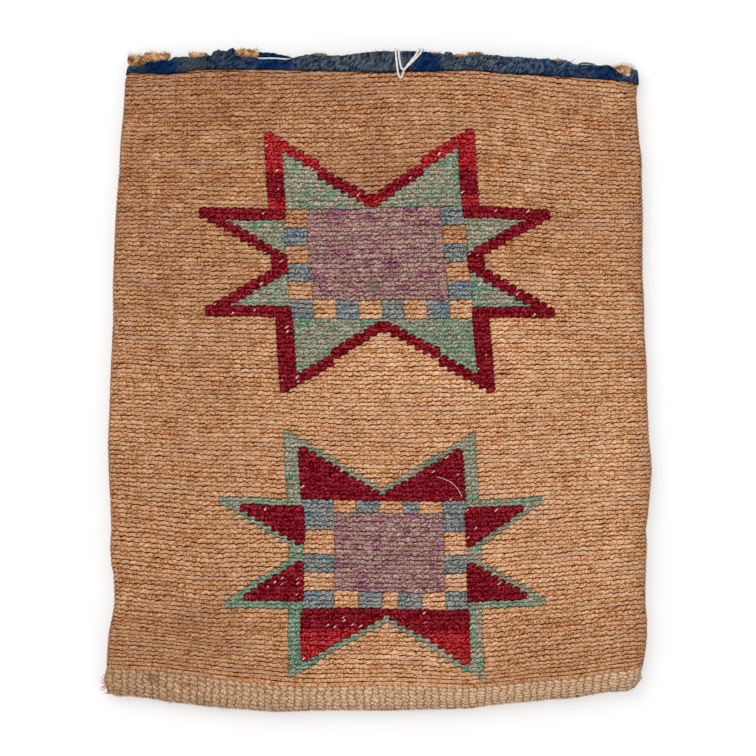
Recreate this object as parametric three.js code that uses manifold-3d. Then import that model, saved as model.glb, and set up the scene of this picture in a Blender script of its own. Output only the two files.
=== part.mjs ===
// A flat twined bag lying on its back: base towards -Y, mouth towards +Y, front face up.
// Cornhusk covers the woven wall, dyed wool yarn makes two stars on the front,
// plain hemp makes the base, and a strip of blue wool cloth is folded over the rim.
import * as THREE from 'three';
import { mergeVertices } from 'three/addons/utils/BufferGeometryUtils.js';
import Module from 'manifold-3d';

// Woven wall, in millimetres
const BAG_WIDTH = 251;
const BAG_LENGTH = 306;
const WALL = 2.4;
const ROW_PITCH = 2.1;
const STITCH_PITCH = 3.585;
const RIDGE_DEPTH = 0.5;

// Base: its count of rows, and how far up its edge is rounded, in millimetres
const BASE_ROWS = 6;
const BASE_ROUND = 5;

// Cloth binding of the rim, in millimetres
const BINDING = 0.8;
const BINDING_HEIGHT = 9.3;
const INSIDE_TURN = 7;
const RIM_WALL = 1.3;
const MOUTH_GAP = 4.8;
const WORN_DEPTH = 3.2;

// String hitched over the rim, in millimetres and degrees
const STRING = 1;
const STRING_ACROSS = 10.7;
const STRING_SLANT = 43;

// Yarn of the stars, in millimetres
const YARN = 0.5;
const YARN_GAP = 0.2;

// Space left between pieces that lie against each other, in millimetres
const CLEARANCE = 0.3;

// How far each edge draws in from a plain rectangle, in millimetres, at even steps along it
const LEFT_DRAW_IN = [-1.5, 1.3, 0, 1.5, 4.1, 9];
const RIGHT_DRAW_IN = [4.1, 0.5, -0.8, 0.7, 2.3, 4.5];
const BASE_DRAW_IN = [7.6, 2.5, 0, 0.1, 4.3, 9.9];
const RIM_DRAW_IN = [1.5, 0.6, 0.1, -0.8, 1.8, 5.7];

// Worn gaps in the binding: distance right of the middle and width, in millimetres
const WORN_GAPS = [
  { across: -112, width: 7 },
  { across: -102, width: 9 },
  { across: -60.5, width: 8 },
  { across: 113, width: 9 },
];

// Pattern of the stars, in stitches across and rows up
const TWIST = 5.5;
const ARM_NOTCH = 15;
const BAR_TOP = 12;
const BAR_ROWS = 2;
const BORDER = 2;
const REACH = 9;

// Each star's middle, in stitches right of the bag's middle and as a share of the way up,
// its half width in stitches, and its centre and blue checks as [left, bottom, right, top]
const STARS = [
  {
    name: 'upper_star',
    across: 3,
    up: 0.68,
    half: 14,
    border: 'red',
    field: 'green',
    center: [-9, -8, 9, 12],
    checks: [
      [-12, 4, -9, 8],
      [-12, -4, -9, 0],
      [-12, -12, -9, -8],
      [-6, -12, -3, -8],
      [0, -12, 3, -8],
      [6, -12, 9, -8],
      [9, -8, 12, -4],
      [9, 0, 12, 4],
      [9, 8, 12, 12],
    ],
  },
  {
    name: 'lower_star',
    across: 1.6,
    up: 0.238,
    half: 12.5,
    border: 'green',
    field: 'red',
    center: [-6.5, -8, 7.5, 9],
    checks: [
      [-10.5, 5, -6.5, 12],
      [-10.5, -4, -6.5, 0],
      [-10.5, -12, -6.5, -8],
      [-3.5, -12, -0.5, -8],
      [1.5, -12, 4.5, -8],
      [7.5, -12, 10.5, -8],
      [7.5, -4, 10.5, 0],
      [7.5, 5, 10.5, 12],
      [2.5, 9, 4.5, 12],
      [-3.5, 9, -0.5, 12],
    ],
  },
];

// Mesh divisions of the plain stretches
const FACE_SPANS = 3;
const FOLD_SPANS = 3;
const INNER_SPANS = 3;

// Depths of the layers at the rim below the outer face, and the thickness that they add up to
const RIM_OUTSIDE = BINDING + CLEARANCE;
const RIM_INSIDE = RIM_OUTSIDE + RIM_WALL;
const TURN_OUTSIDE = RIM_INSIDE + CLEARANCE;
const TURN_INSIDE = TURN_OUTSIDE + BINDING;
const THICKNESS = MOUTH_GAP + 2 * TURN_INSIDE;
const MIDDLE = THICKNESS / 2;

// Heights along the bag, from the base up
const BASE_TOP = BASE_ROWS * ROW_PITCH;
const BINDING_LOW = BAG_LENGTH - BINDING_HEIGHT;
const RIM_LOW = BINDING_LOW - CLEARANCE;
const RIM_TOP = BAG_LENGTH - BINDING - CLEARANCE;

const { degToRad, lerp } = THREE.MathUtils;

const wasm = await Module();
wasm.setup();

const MATERIALS = {
  husk: new THREE.MeshStandardMaterial({ color: 0xb5845f, roughness: 0.85, metalness: 0 }),
  hemp: new THREE.MeshStandardMaterial({ color: 0xb28f71, roughness: 0.9, metalness: 0 }),
  cloth: new THREE.MeshStandardMaterial({ color: 0x2f3e4e, roughness: 0.95, metalness: 0 }),
  string: new THREE.MeshStandardMaterial({ color: 0xefece4, roughness: 0.8, metalness: 0 }),
  red: new THREE.MeshStandardMaterial({ color: 0x7d141e, roughness: 0.9, metalness: 0 }),
  green: new THREE.MeshStandardMaterial({ color: 0x7b7d68, roughness: 0.9, metalness: 0 }),
  blue: new THREE.MeshStandardMaterial({ color: 0x70706c, roughness: 0.9, metalness: 0 }),
  lavender: new THREE.MeshStandardMaterial({ color: 0x8d6865, roughness: 0.9, metalness: 0 }),
};

function named(name, geometry, material) {
  const mesh = new THREE.Mesh(geometry, MATERIALS[material]);
  mesh.name = name;
  return mesh;
}

// Smooth value at a share of the way along a list of evenly spaced values.
function along(values, share) {
  const points = values.map((value, i) => new THREE.Vector2(i, value));
  return new THREE.SplineCurve(points).getPoint(THREE.MathUtils.clamp(share, 0, 1)).y;
}

// Plan position of a share of the way across the bag and a height up it.
function plan(across, height) {
  const up = height / BAG_LENGTH;
  const left = along(LEFT_DRAW_IN, up) - BAG_WIDTH / 2;
  const right = BAG_WIDTH / 2 - along(RIGHT_DRAW_IN, up);
  const base = along(BASE_DRAW_IN, across) - BAG_LENGTH / 2;
  const rim = BAG_LENGTH / 2 - along(RIM_DRAW_IN, across);
  return new THREE.Vector2(lerp(left, right, across), lerp(base, rim, up));
}

// Half the bag's thickness at a height: the base is rounded to an edge.
function halfThickness(height) {
  const rise = Math.min(height / BASE_ROUND, 1);
  return MIDDLE * Math.sqrt(1 - (1 - rise) ** 2);
}

// One loop round the bag at a height, set in from the outer face on the front and on the back.
function ring(height, frontInset, backInset = frontInset) {
  const half = halfThickness(height);
  const flatEdge = MIDDLE / BAG_WIDTH;
  const points = [];
  const add = (spot, level) => points.push(new THREE.Vector3(spot.x, spot.y, MIDDLE + level));
  const addFace = (from, to, level) => {
    for (let i = 0; i <= FACE_SPANS; i += 1) {
      add(plan(lerp(from, to, i / FACE_SPANS), height), level);
    }
  };
  const addFold = (flat, edge, firstInset, lastInset, firstSide) => {
    for (let i = 1; i < FOLD_SPANS; i += 1) {
      const angle = Math.PI / 2 - (i * Math.PI) / FOLD_SPANS;
      const inset = i < FOLD_SPANS / 2 ? firstInset : lastInset;
      const outward = Math.cos(angle) / Math.cos(Math.PI / FOLD_SPANS / 2);
      const spot = plan(flat, height).lerp(plan(edge, height), outward * (1 - inset / MIDDLE));
      add(spot, firstSide * Math.sin(angle) * Math.max(half - inset, 0));
    }
  };
  addFace(flatEdge, 1 - flatEdge, Math.max(half - frontInset, 0));
  addFold(1 - flatEdge, 1, frontInset, backInset, 1);
  addFace(1 - flatEdge, flatEdge, -Math.max(half - backInset, 0));
  addFold(flatEdge, 0, backInset, frontInset, -1);
  return points;
}

// Faces between loops that follow each other. A tube also joins its last loop to its first.
// A loop that is pressed flat to a line closes the end of what is not a tube.
function loft(rings, isTube) {
  const count = rings[0].length;
  const points = rings.flat();
  const index = [];
  const addFace = (...corners) => {
    const [a, b, c] = corners.map((corner) => points[corner]);
    if (!a.equals(b) && !b.equals(c) && !c.equals(a)) {
      index.push(...corners);
    }
  };
  const bands = isTube ? rings.length : rings.length - 1;
  for (let band = 0; band < bands; band += 1) {
    const low = band * count;
    const high = ((band + 1) % rings.length) * count;
    for (let i = 0; i < count; i += 1) {
      const next = (i + 1) % count;
      addFace(low + i, low + next, high + next);
      addFace(low + i, high + next, high + i);
    }
  }
  const geometry = new THREE.BufferGeometry();
  geometry.setAttribute('position', new THREE.BufferAttribute(new Float32Array(points.length * 3), 3));
  points.forEach((point, i) => geometry.attributes.position.setXYZ(i, point.x, point.y, point.z));
  geometry.setIndex(index);
  return mergeVertices(geometry);
}

// Closed geometry as a solid that can be cut, and back.
function toSolid(geometry) {
  const bare = geometry.clone();
  bare.deleteAttribute('normal');
  bare.deleteAttribute('uv');
  const merged = mergeVertices(bare);
  return new wasm.Manifold(new wasm.Mesh({
    numProp: 3,
    vertProperties: Float32Array.from(merged.attributes.position.array),
    triVerts: Uint32Array.from(merged.index.array),
  }));
}

function toGeometry(solid) {
  const mesh = solid.getMesh();
  const geometry = new THREE.BufferGeometry();
  geometry.setAttribute('position', new THREE.BufferAttribute(mesh.vertProperties, mesh.numProp));
  geometry.setIndex(new THREE.BufferAttribute(mesh.triVerts, 1));
  geometry.computeVertexNormals();
  return geometry;
}

// A box as a cutting tool, from its low corner to its high corner.
function boxSolid(low, high) {
  const size = high.clone().sub(low);
  const middle = low.clone().add(high).multiplyScalar(0.5);
  const geometry = new THREE.BoxGeometry(size.x, size.y, size.z);
  return toSolid(geometry.translate(middle.x, middle.y, middle.z));
}

// Share of the way across the bag at a distance right of its middle.
function shareAcross(distance) {
  return 0.5 + distance / BAG_WIDTH;
}

// Place of the string: where it passes through the wall, and the room that its turns need there.
const STRING_PAIR = 2 * STRING;
const SLANT = degToRad(STRING_SLANT);
const SLANT_ROOM = (STRING_PAIR * Math.sin(SLANT) + STRING * Math.cos(SLANT)) / 2 + CLEARANCE;
const SLANT_SIDE = (STRING_PAIR * Math.cos(SLANT) + STRING * Math.sin(SLANT)) / 2;
const STRING_HEIGHT = RIM_LOW - SLANT_ROOM;
const STRING_SPOT = plan(shareAcross(STRING_ACROSS), STRING_HEIGHT);

// Half the space between the two turns, and the space beside them in their hole.
const HOLE_ROOM = CLEARANCE / 2 + CLEARANCE;

// Woven wall: a ridge for each row on the front, and one for each pair of rows on the back,
// with flat crests there that the bag lies on. The rim is thinner where the binding holds it.
function huskBody() {
  const rows = Math.round((RIM_LOW - BASE_TOP) / ROW_PITCH);
  const step = (RIM_LOW - BASE_TOP) / rows / 2;
  const rings = [];
  for (let i = 0; i <= 2 * rows; i += 1) {
    const frontInset = i % 2 === 0 ? RIDGE_DEPTH : 0;
    const backInset = i % 4 === 0 ? RIDGE_DEPTH : 0;
    rings.push(ring(BASE_TOP + i * step, frontInset, backInset));
  }
  rings.push(ring(RIM_LOW, RIM_OUTSIDE), ring(RIM_TOP, RIM_OUTSIDE), ring(RIM_TOP, RIM_INSIDE));
  rings.push(ring(RIM_LOW, RIM_INSIDE));
  for (let i = 0; i <= INNER_SPANS; i += 1) {
    rings.push(ring(lerp(RIM_LOW - WALL, BASE_TOP, i / INNER_SPANS), WALL));
  }
  const hole = boxSolid(
    new THREE.Vector3(
      STRING_SPOT.x - STRING_PAIR - HOLE_ROOM,
      STRING_SPOT.y - SLANT_ROOM,
      THICKNESS - WALL - CLEARANCE,
    ),
    new THREE.Vector3(
      STRING_SPOT.x + 2 * SLANT_SIDE + HOLE_ROOM,
      STRING_SPOT.y + SLANT_ROOM,
      THICKNESS + CLEARANCE,
    ),
  );
  return named('husk_body', toGeometry(toSolid(loft(rings, true)).subtract(hole)), 'husk');
}

// Base: the first rows of the weave, in plain hemp, closed along the bottom.
function hempBase() {
  const top = BASE_TOP - CLEARANCE;
  const steps = 2 * BASE_ROWS;
  const rings = [ring(0, 0)];
  for (let i = 1; i <= steps; i += 1) {
    rings.push(ring((top * i) / steps, i % 2 === 0 ? RIDGE_DEPTH : 0, 0));
  }
  rings.push(ring(top, WALL), ring(BASE_ROUND + WALL, WALL), ring(WALL, MIDDLE));
  return named('hemp_base', loft(rings, false), 'hemp');
}

// Binding: a strip of cloth folded over the rim, worn through along the front edge.
function rimBinding() {
  const inner = BAG_LENGTH - INSIDE_TURN;
  const shoulder = BAG_LENGTH - BINDING;
  const strip = loft([
    ring(BINDING_LOW, 0),
    ring(shoulder, 0),
    ring(BAG_LENGTH, TURN_INSIDE / 2),
    ring(shoulder, TURN_INSIDE),
    ring(inner, TURN_INSIDE),
    ring(inner, TURN_OUTSIDE),
    ring(shoulder, TURN_OUTSIDE),
    ring(shoulder, BINDING),
    ring(BINDING_LOW, BINDING),
  ], true);
  let worn = toSolid(strip);
  for (const gap of WORN_GAPS) {
    const edge = plan(shareAcross(gap.across), BAG_LENGTH).y;
    worn = worn.subtract(boxSolid(
      new THREE.Vector3(gap.across - gap.width / 2, edge - WORN_DEPTH, THICKNESS - TURN_INSIDE - CLEARANCE),
      new THREE.Vector3(gap.across + gap.width / 2, edge + WORN_DEPTH, THICKNESS + CLEARANCE),
    ));
  }
  return named('rim_binding', toGeometry(worn), 'cloth');
}

// One turn of doubled string: through the wall, up the binding, over the rim and down inside.
function stringTurn(name, slant, across) {
  const rim = plan(shareAcross(STRING_SPOT.x + across), BAG_LENGTH).y - STRING_SPOT.y;
  const reach = rim / Math.cos(slant) + (STRING_PAIR / 2) * Math.tan(slant) + CLEARANCE;
  const low = THICKNESS - TURN_INSIDE - CLEARANCE;
  const high = THICKNESS + CLEARANCE;
  const outline = new THREE.Shape();
  const round = STRING / 2;
  outline.moveTo(-round, low - round);
  outline.lineTo(0, low - STRING);
  outline.lineTo(reach + round, low - STRING);
  outline.lineTo(reach + STRING, low - round);
  outline.lineTo(reach + STRING, high + round);
  outline.lineTo(reach + round, high + STRING);
  outline.lineTo(0, high + STRING);
  outline.lineTo(-round, high + round);
  const inside = new THREE.Path();
  inside.moveTo(round, low);
  inside.lineTo(round, high);
  inside.lineTo(reach, high);
  inside.lineTo(reach, low);
  outline.holes.push(inside);
  const geometry = new THREE.ExtrudeGeometry(outline, { depth: STRING_PAIR, bevelEnabled: false });
  geometry.translate(0, 0, -STRING_PAIR / 2).rotateX(Math.PI / 2).rotateZ(Math.PI / 2);
  const mesh = named(name, geometry, 'string');
  mesh.position.set(STRING_SPOT.x + across, STRING_SPOT.y, 0);
  mesh.rotation.z = -slant;
  return mesh;
}

// Plan position of a stitch and row counted from a star's middle.
// The stitches lean to the left on their way up.
function stitchPlan(star, stitch, row) {
  const height = star.up * BAG_LENGTH + row * ROW_PITCH;
  const up = height / BAG_LENGTH;
  const lean = (TWIST * up * (1 + up)) / 2;
  return plan(shareAcross((star.across + stitch - lean) * STITCH_PITCH), height);
}

// Lays a star's pattern on the bag, with its rows and its columns of stitches kept straight.
function starPlacer(star) {
  const tip = ARM_NOTCH + star.half;
  const middle = stitchPlan(star, 0, 0);
  const stitch = stitchPlan(star, star.half, 0).sub(stitchPlan(star, -star.half, 0));
  const row = stitchPlan(star, 0, tip).sub(stitchPlan(star, 0, -tip));
  stitch.divideScalar(2 * star.half);
  row.divideScalar(2 * tip);
  return (points) => points.map(
    (point) => middle.clone().addScaledVector(stitch, point.x).addScaledVector(row, point.y),
  );
}

// Corners of a stepped outline, without the points along its straight stretches.
function cornersOnly(points) {
  const distinct = points.filter((point, i) => !point.equals(points.at(i - 1)));
  return distinct.filter((point, i) => {
    const before = point.clone().sub(distinct.at(i - 1));
    const after = distinct[(i + 1) % distinct.length].clone().sub(point);
    return before.cross(after) !== 0;
  });
}

// Stepped edge of a star's two upper arms, from right to left, in stitches and rows.
function armEdge(half, border) {
  const points = [];
  for (let right = half - border; right > border - half; right -= 1) {
    const top = ARM_NOTCH + 1 + Math.floor(Math.abs(right - 0.5)) - border;
    points.push(new THREE.Vector2(right, top), new THREE.Vector2(right - 1, top));
  }
  return points;
}

// Stepped right side of a star's two right arms, from low row to high row.
function sideEdge(half, border, lowRow, highRow) {
  const points = [];
  for (let row = lowRow; row < highRow; row += 1) {
    const open = Math.min(half - 1 + Math.floor(Math.abs(row + 0.5)), half + REACH);
    points.push(new THREE.Vector2(open - border, row), new THREE.Vector2(open - border, row + 1));
  }
  return points;
}

// An outline turned half round about the star's middle, and one turned over its upright middle line.
function halfTurn(points) {
  return points.map((point) => point.clone().negate());
}

function flipped(points) {
  return points.map((point) => new THREE.Vector2(-point.x, point.y)).reverse();
}

// Outer edge of a star's border.
function borderOutline(half) {
  const bar = new THREE.Vector2(half, BAR_TOP);
  const upper = [...sideEdge(half, 0, 0, BAR_TOP), bar, ...armEdge(half, 0)];
  const left = [new THREE.Vector2(-half, BAR_TOP), ...flipped(sideEdge(half, 0, 0, BAR_TOP))];
  const top = [...upper, ...left];
  return cornersOnly([...top, ...halfTurn(top)]);
}

// Field above the centre, between the two upper arms.
function armField(half) {
  const side = half - BORDER;
  const foot = [new THREE.Vector2(-side, BAR_TOP), new THREE.Vector2(side, BAR_TOP)];
  return cornersOnly([...foot, ...armEdge(half, BORDER)]);
}

// Field inside the upper right arm at the side of the centre.
function sideField(half) {
  const side = half - BORDER;
  const high = BAR_TOP - BAR_ROWS;
  const low = BORDER;
  const inner = [new THREE.Vector2(side, high), new THREE.Vector2(side, low)];
  return cornersOnly([...sideEdge(half, BORDER, low, high), ...inner]);
}

// Inner edge of a star's border: the edge round the centre and all six fields.
function borderHole(half) {
  const side = half - BORDER;
  const quarter = sideField(half).filter((point) => point.x > side);
  const foot = new THREE.Vector2(side, BORDER);
  const shoulder = new THREE.Vector2(side, BAR_TOP - BAR_ROWS);
  const right = [foot, ...quarter, shoulder];
  const top = [...right, ...armEdge(half, BORDER), ...flipped(right)];
  return cornersOnly([...top, ...halfTurn(top)]);
}

function rectangle([left, bottom, right, top]) {
  return [
    new THREE.Vector2(left, bottom),
    new THREE.Vector2(right, bottom),
    new THREE.Vector2(right, top),
    new THREE.Vector2(left, top),
  ];
}

// A plan outline drawn in by a distance on every side.
function drawnIn(points, distance) {
  return points.map((point, i) => {
    const before = point.clone().sub(points.at(i - 1)).normalize();
    const after = points[(i + 1) % points.length].clone().sub(point).normalize();
    const inward = new THREE.Vector2(-before.y - after.y, before.x + after.x);
    return inward.multiplyScalar(distance / (1 + before.dot(after))).add(point);
  });
}

// Yarn of one colour field, lying on the crests of the front's rows.
function yarnField(name, outline, hole, material) {
  const shape = new THREE.Shape(outline);
  if (hole) {
    shape.holes.push(new THREE.Path(hole));
  }
  const geometry = new THREE.ExtrudeGeometry(shape, { depth: YARN, bevelEnabled: false });
  const mesh = named(name, geometry, material);
  mesh.position.z = THICKNESS + CLEARANCE;
  return mesh;
}

// All the yarn of one star.
function yarnStar(star) {
  const onBag = starPlacer(star);
  const patch = (suffix, points, material) => {
    const outline = drawnIn(onBag(points), YARN_GAP);
    return yarnField(`${star.name}_${suffix}`, outline, null, material);
  };
  const top = armField(star.half);
  const right = sideField(star.half);
  const border = onBag(borderOutline(star.half));
  const group = new THREE.Group();
  group.add(
    yarnField(`${star.name}_border`, border, onBag(borderHole(star.half)), star.border),
    patch('field_top', top, star.field),
    patch('field_bottom', halfTurn(top), star.field),
    patch('field_upper_right', right, star.field),
    patch('field_upper_left', flipped(right), star.field),
    patch('field_lower_left', halfTurn(right), star.field),
    patch('field_lower_right', halfTurn(flipped(right)), star.field),
    patch('center', rectangle(star.center), 'lavender'),
    ...star.checks.map((check, i) => patch(`check_${i + 1}`, rectangle(check), 'blue')),
  );
  return group;
}

const bag = new THREE.Group();
bag.add(
  huskBody(),
  hempBase(),
  rimBinding(),
  stringTurn('string_straight_turn', 0, -(STRING_PAIR + CLEARANCE) / 2),
  stringTurn('string_slanted_turn', SLANT, SLANT_SIDE + CLEARANCE / 2),
  ...STARS.map(yarnStar),
);

// The origin lies under the middle of the whole bag.
const extent = new THREE.Box3().setFromObject(bag, true);
const center = extent.getCenter(new THREE.Vector3());
bag.position.set(-center.x, -center.y, -extent.min.z);

export default bag;
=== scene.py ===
import math

import bpy
import numpy as np
from bpy.props import FloatProperty, FloatVectorProperty, IntProperty, PointerProperty
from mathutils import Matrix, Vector


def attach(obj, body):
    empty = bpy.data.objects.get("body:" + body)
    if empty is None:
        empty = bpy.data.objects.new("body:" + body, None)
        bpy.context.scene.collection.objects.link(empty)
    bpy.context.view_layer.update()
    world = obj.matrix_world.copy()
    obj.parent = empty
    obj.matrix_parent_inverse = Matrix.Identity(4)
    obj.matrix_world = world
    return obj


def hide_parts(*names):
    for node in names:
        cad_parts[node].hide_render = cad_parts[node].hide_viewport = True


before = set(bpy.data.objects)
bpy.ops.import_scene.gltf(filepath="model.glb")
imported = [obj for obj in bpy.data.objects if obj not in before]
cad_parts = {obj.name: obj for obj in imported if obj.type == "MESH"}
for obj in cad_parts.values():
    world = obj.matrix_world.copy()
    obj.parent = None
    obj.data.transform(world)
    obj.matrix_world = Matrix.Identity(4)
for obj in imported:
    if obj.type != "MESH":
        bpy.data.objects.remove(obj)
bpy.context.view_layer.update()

bl_info = {
    "name": "Cornhusk Bag",
    "version": (1, 0, 0),
    "blender": (4, 5, 0),
    "location": "View3D > Sidebar > Bag",
    "description": "Builds the woven wall, yarn stars, bound rim and string of a flat twined bag",
    "category": "Add Mesh",
}

MM = 0.001

# Where the middle of the bag's plan lies in the frame, in millimetres.
PLAN_MIDDLE = (0.349, -1.801, 0.0)

# How far each edge draws in from a plain rectangle, in millimetres, at even steps along it.
LEFT_DRAW_IN = (-1.5, 1.3, 0, 1.5, 4.1, 9)
RIGHT_DRAW_IN = (4.1, 0.5, -0.8, 0.7, 2.3, 4.5)
BASE_DRAW_IN = (7.6, 2.5, 0, 0.1, 4.3, 9.9)
RIM_DRAW_IN = (1.5, 0.6, 0.1, -0.8, 1.8, 5.7)

# How far the outline stands out past those edges, in millimetres: the sides by the height on the plan, and the base
# from left to right.
LEFT_SWELL = (
    (-139, -0.3), (-132, 0.4), (-118, 0.4), (-111, -0.5), (-104, -1.3), (-97, -0.9), (-90, -0.4), (-85, 0.7),
    (-78, 1.2), (-69, 0.5), (-55, 0.5), (-41, 0.7), (-27, 0.8), (-13, 0.4), (0, 0.4), (14, 0), (28, -0.3), (45, 0.4),
    (84, 0.4), (98, 0.1), (112, 0.7), (126, 0.7), (140, 1.2), (147, 0.2),
)  # fmt: skip
RIGHT_SWELL = (
    (-139, 2.4), (-132, 2.9), (-125, 3.3), (-118, 3.7), (-111, 3.2), (-104, 1.9), (-97, 1.4), (-90, 1.1), (-76, 0.9),
    (-69, 0.1), (-62, 0.9), (-55, 1.4), (-48, 1.9), (-41, 2.3), (-34, 1.8), (-27, 0.9), (-6, 0.5), (7, 0.8), (21, 0.1),
    (35, 0.4), (50, 0), (63, 0.4), (77, 0.9), (91, 0.9), (105, 1.3), (112, 0.5), (126, 0), (133, 0), (140, 0.9),
    (147, 0.5),
)  # fmt: skip
BASE_SWELL = (
    (-124, 0.2), (-120, 0.6), (-115, 0.1), (-106, 0), (-97, 0.6), (-87, 0.5), (-78, 0.8), (-69, 1), (-59, 0.9),
    (-50, 1.4), (-41, 0.9), (-31, 0), (-13, -0.4), (24, -0.4), (34, 0), (43, 0.4), (52, 0), (80, 0), (90, 0.8),
    (99, 0.4), (108, 0), (116, 0.6), (118.6, 0), (120.5, -0.8), (122.3, -3.2), (124.5, -6),
)  # fmt: skip

# How far the join of base and husk sags below its true place, in millimetres from left to right.
JOIN_SAG = (
    (-124.7, -0.8), (-110.7, -1.4), (-101.4, -1.8), (-82.7, -1.6), (-73.4, -1.1), (-64, -0.65), (-54.8, -0.55),
    (-45.4, 0.3), (-36, 0.75), (-26.8, 0.85), (-17.5, 0.45), (-8.2, 0), (5.8, -0.2), (15, 0.3), (24.5, 1), (33.8, 1.95),
    (43, 2.6), (52.4, 2.8), (61.7, 2.7), (71, 2.3), (80.4, 2.6), (89.7, 2.9), (99, 2.8), (108.3, 2.15), (117.7, 1.7),
)  # fmt: skip

# Edges of the binding from left to right, in millimetres on the plan: on the front its worn upper edge and its
# lower edge, on the back its upper edge, which shows where it stands past the front.
FRONT_TOP = (
    (-117.7, 147), (-111.6, 146.8), (-109.3, 147.7), (-107.4, 149.1), (-103.2, 149.1), (-100.9, 150.1), (-96.7, 149.9),
    (-94.8, 151.5), (-90.6, 151.9), (-87.4, 151), (-83.6, 151.5), (-76.7, 152.8), (-74.3, 153.3), (-67.3, 153.3),
    (-65, 152.4), (-61.3, 151.5), (-49.2, 150.6), (-42.6, 150.4), (-36.6, 151.7), (-33.8, 152.5), (-31, 152.8),
    (-23.1, 152.1), (-18.4, 152.1), (-8.2, 153.3), (-2.6, 153.9), (4, 154.2), (23.1, 154), (26.3, 152.9), (30.1, 153.1),
    (38.4, 151.8), (43.1, 152), (48.7, 153), (53.4, 152.3), (71.1, 151.1), (80.9, 150.6), (83.2, 149.6), (85.5, 149.6),
    (87.4, 150.1), (91.1, 148.5), (94.4, 147.9), (107.4, 147.7), (109.3, 147), (111.6, 144.9), (114.4, 142.8),
    (117.2, 142.4), (119.1, 143.1), (120.5, 145.4), (122.3, 146.8),
)  # fmt: skip
FRONT_LOW = (
    (-117.7, 144.7), (-109.3, 143.7), (-94.8, 143.7), (-90.2, 144.5), (-84.6, 145.4), (-59.4, 145.6), (-36.1, 145.3),
    (-1.2, 144.2), (24.5, 144.7), (43.1, 145.2), (57.1, 144), (75.7, 142.8), (88.8, 141.9), (101.8, 141.2),
    (111.6, 140.3), (122.3, 138.6),
)  # fmt: skip
BACK_TOP = (
    (-117.7, 149.1), (-106, 150.1), (-78.5, 151), (-77.1, 154.7), (-74.3, 155.6), (-71.1, 154.7), (-67.8, 156.4),
    (-65.9, 154.7), (-64.1, 151.9), (-57.6, 152.8), (-56.2, 154.6), (-47.8, 153.6), (-42.2, 152.6), (-37.5, 151.2),
    (19.8, 152.4), (30.5, 152.8), (31.9, 154.5), (34.3, 154.4), (36.1, 152.4), (71.1, 149.6), (122.3, 146.3),
)  # fmt: skip

# Thick stitches near the right fold where one strip of husk was spliced to the next: middle, half length and
# half thickness, in millimetres.
SPLICES = ((117.5, -41.7, 11.6, 1.3, 1.0), (121.8, -41.7, 11.5, 1.9, 1.1), (125.7, -43.6, 10.3, 1.2, 0.9))

# Where the rim's own cord shows out of the worn binding: left, right, low and high, in millimetres.
CORDS = (
    (-116.6, -107.9, 146.8, 152.8),
    (-109.0, -96.8, 149.4, 153.9),
    (-88.0, -79.4, 151.0, 153.8),
    (-66.4, -55.6, 150.9, 155.5),
    (-30.5, -23.5, 152.0, 153.5),
    (24.2, 29.8, 152.3, 153.9),
    (35.6, 42.8, 151.4, 153.0),
    (42.4, 49.2, 151.8, 154.0),
    (82.0, 86.4, 149.0, 150.8),
    (109.8, 119.2, 142.6, 147.8),
)

# How far each kind of stitch crowds the stitches beside it, in millimetres.
CROWDING = {"husk": 0.1, "red": 0.55, "green": -0.2, "blue": 0.1, "lavender": 0.1}

# How the weave pulls out of true over the front, in stitches and in rows, as a smooth surface
# whose terms go up to the fourth power of the place across and up.
STITCH_DRIFT = (0.4, -0.28, -1.62, 0.11, 1.4, -0.05, -0.75, 0.87, -0.91, -1.46, 0.54, 3.32, -1.2, 5.0, 0.47)
ROW_DRIFT = (-0.14, -0.74, -0.54, 0.39, 0.68, -0.99, 2.56, 1.41, -1.46, 1.56, 1.51, -3.45, 1.54, -5.53, -3.02)

# Where that drift is read: the stitches and rows within which it changes, half the stitches and rows of the front, the
# stitch in its middle, its reach and fade to the sides, and where it ends at the lower left, by stitch and row.
DRIFT_STITCHES, DRIFT_ROWS = (-21, 27), (1, 124)
HALF_STITCHES, HALF_ROWS = 36, 70
DRIFT_MIDDLE, DRIFT_REACH, DRIFT_FADE = 3, 48, 16
CORNER_STITCH, CORNER_STITCHES, CORNER_ROW, CORNER_ROWS = -5, 10, 3, 14

# Shares of the width from the middle where the sides' swell starts and over which it grows, the heights over which the
# base's swell and the join's sag fade, and how far the front's cells reach round each side, in metres.
SWELL_START, SWELL_RUN = 0.375, 0.125
BASE_FADE, SAG_FADE = 0.02, 0.04
ROUND_SIDE = 0.0036

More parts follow.
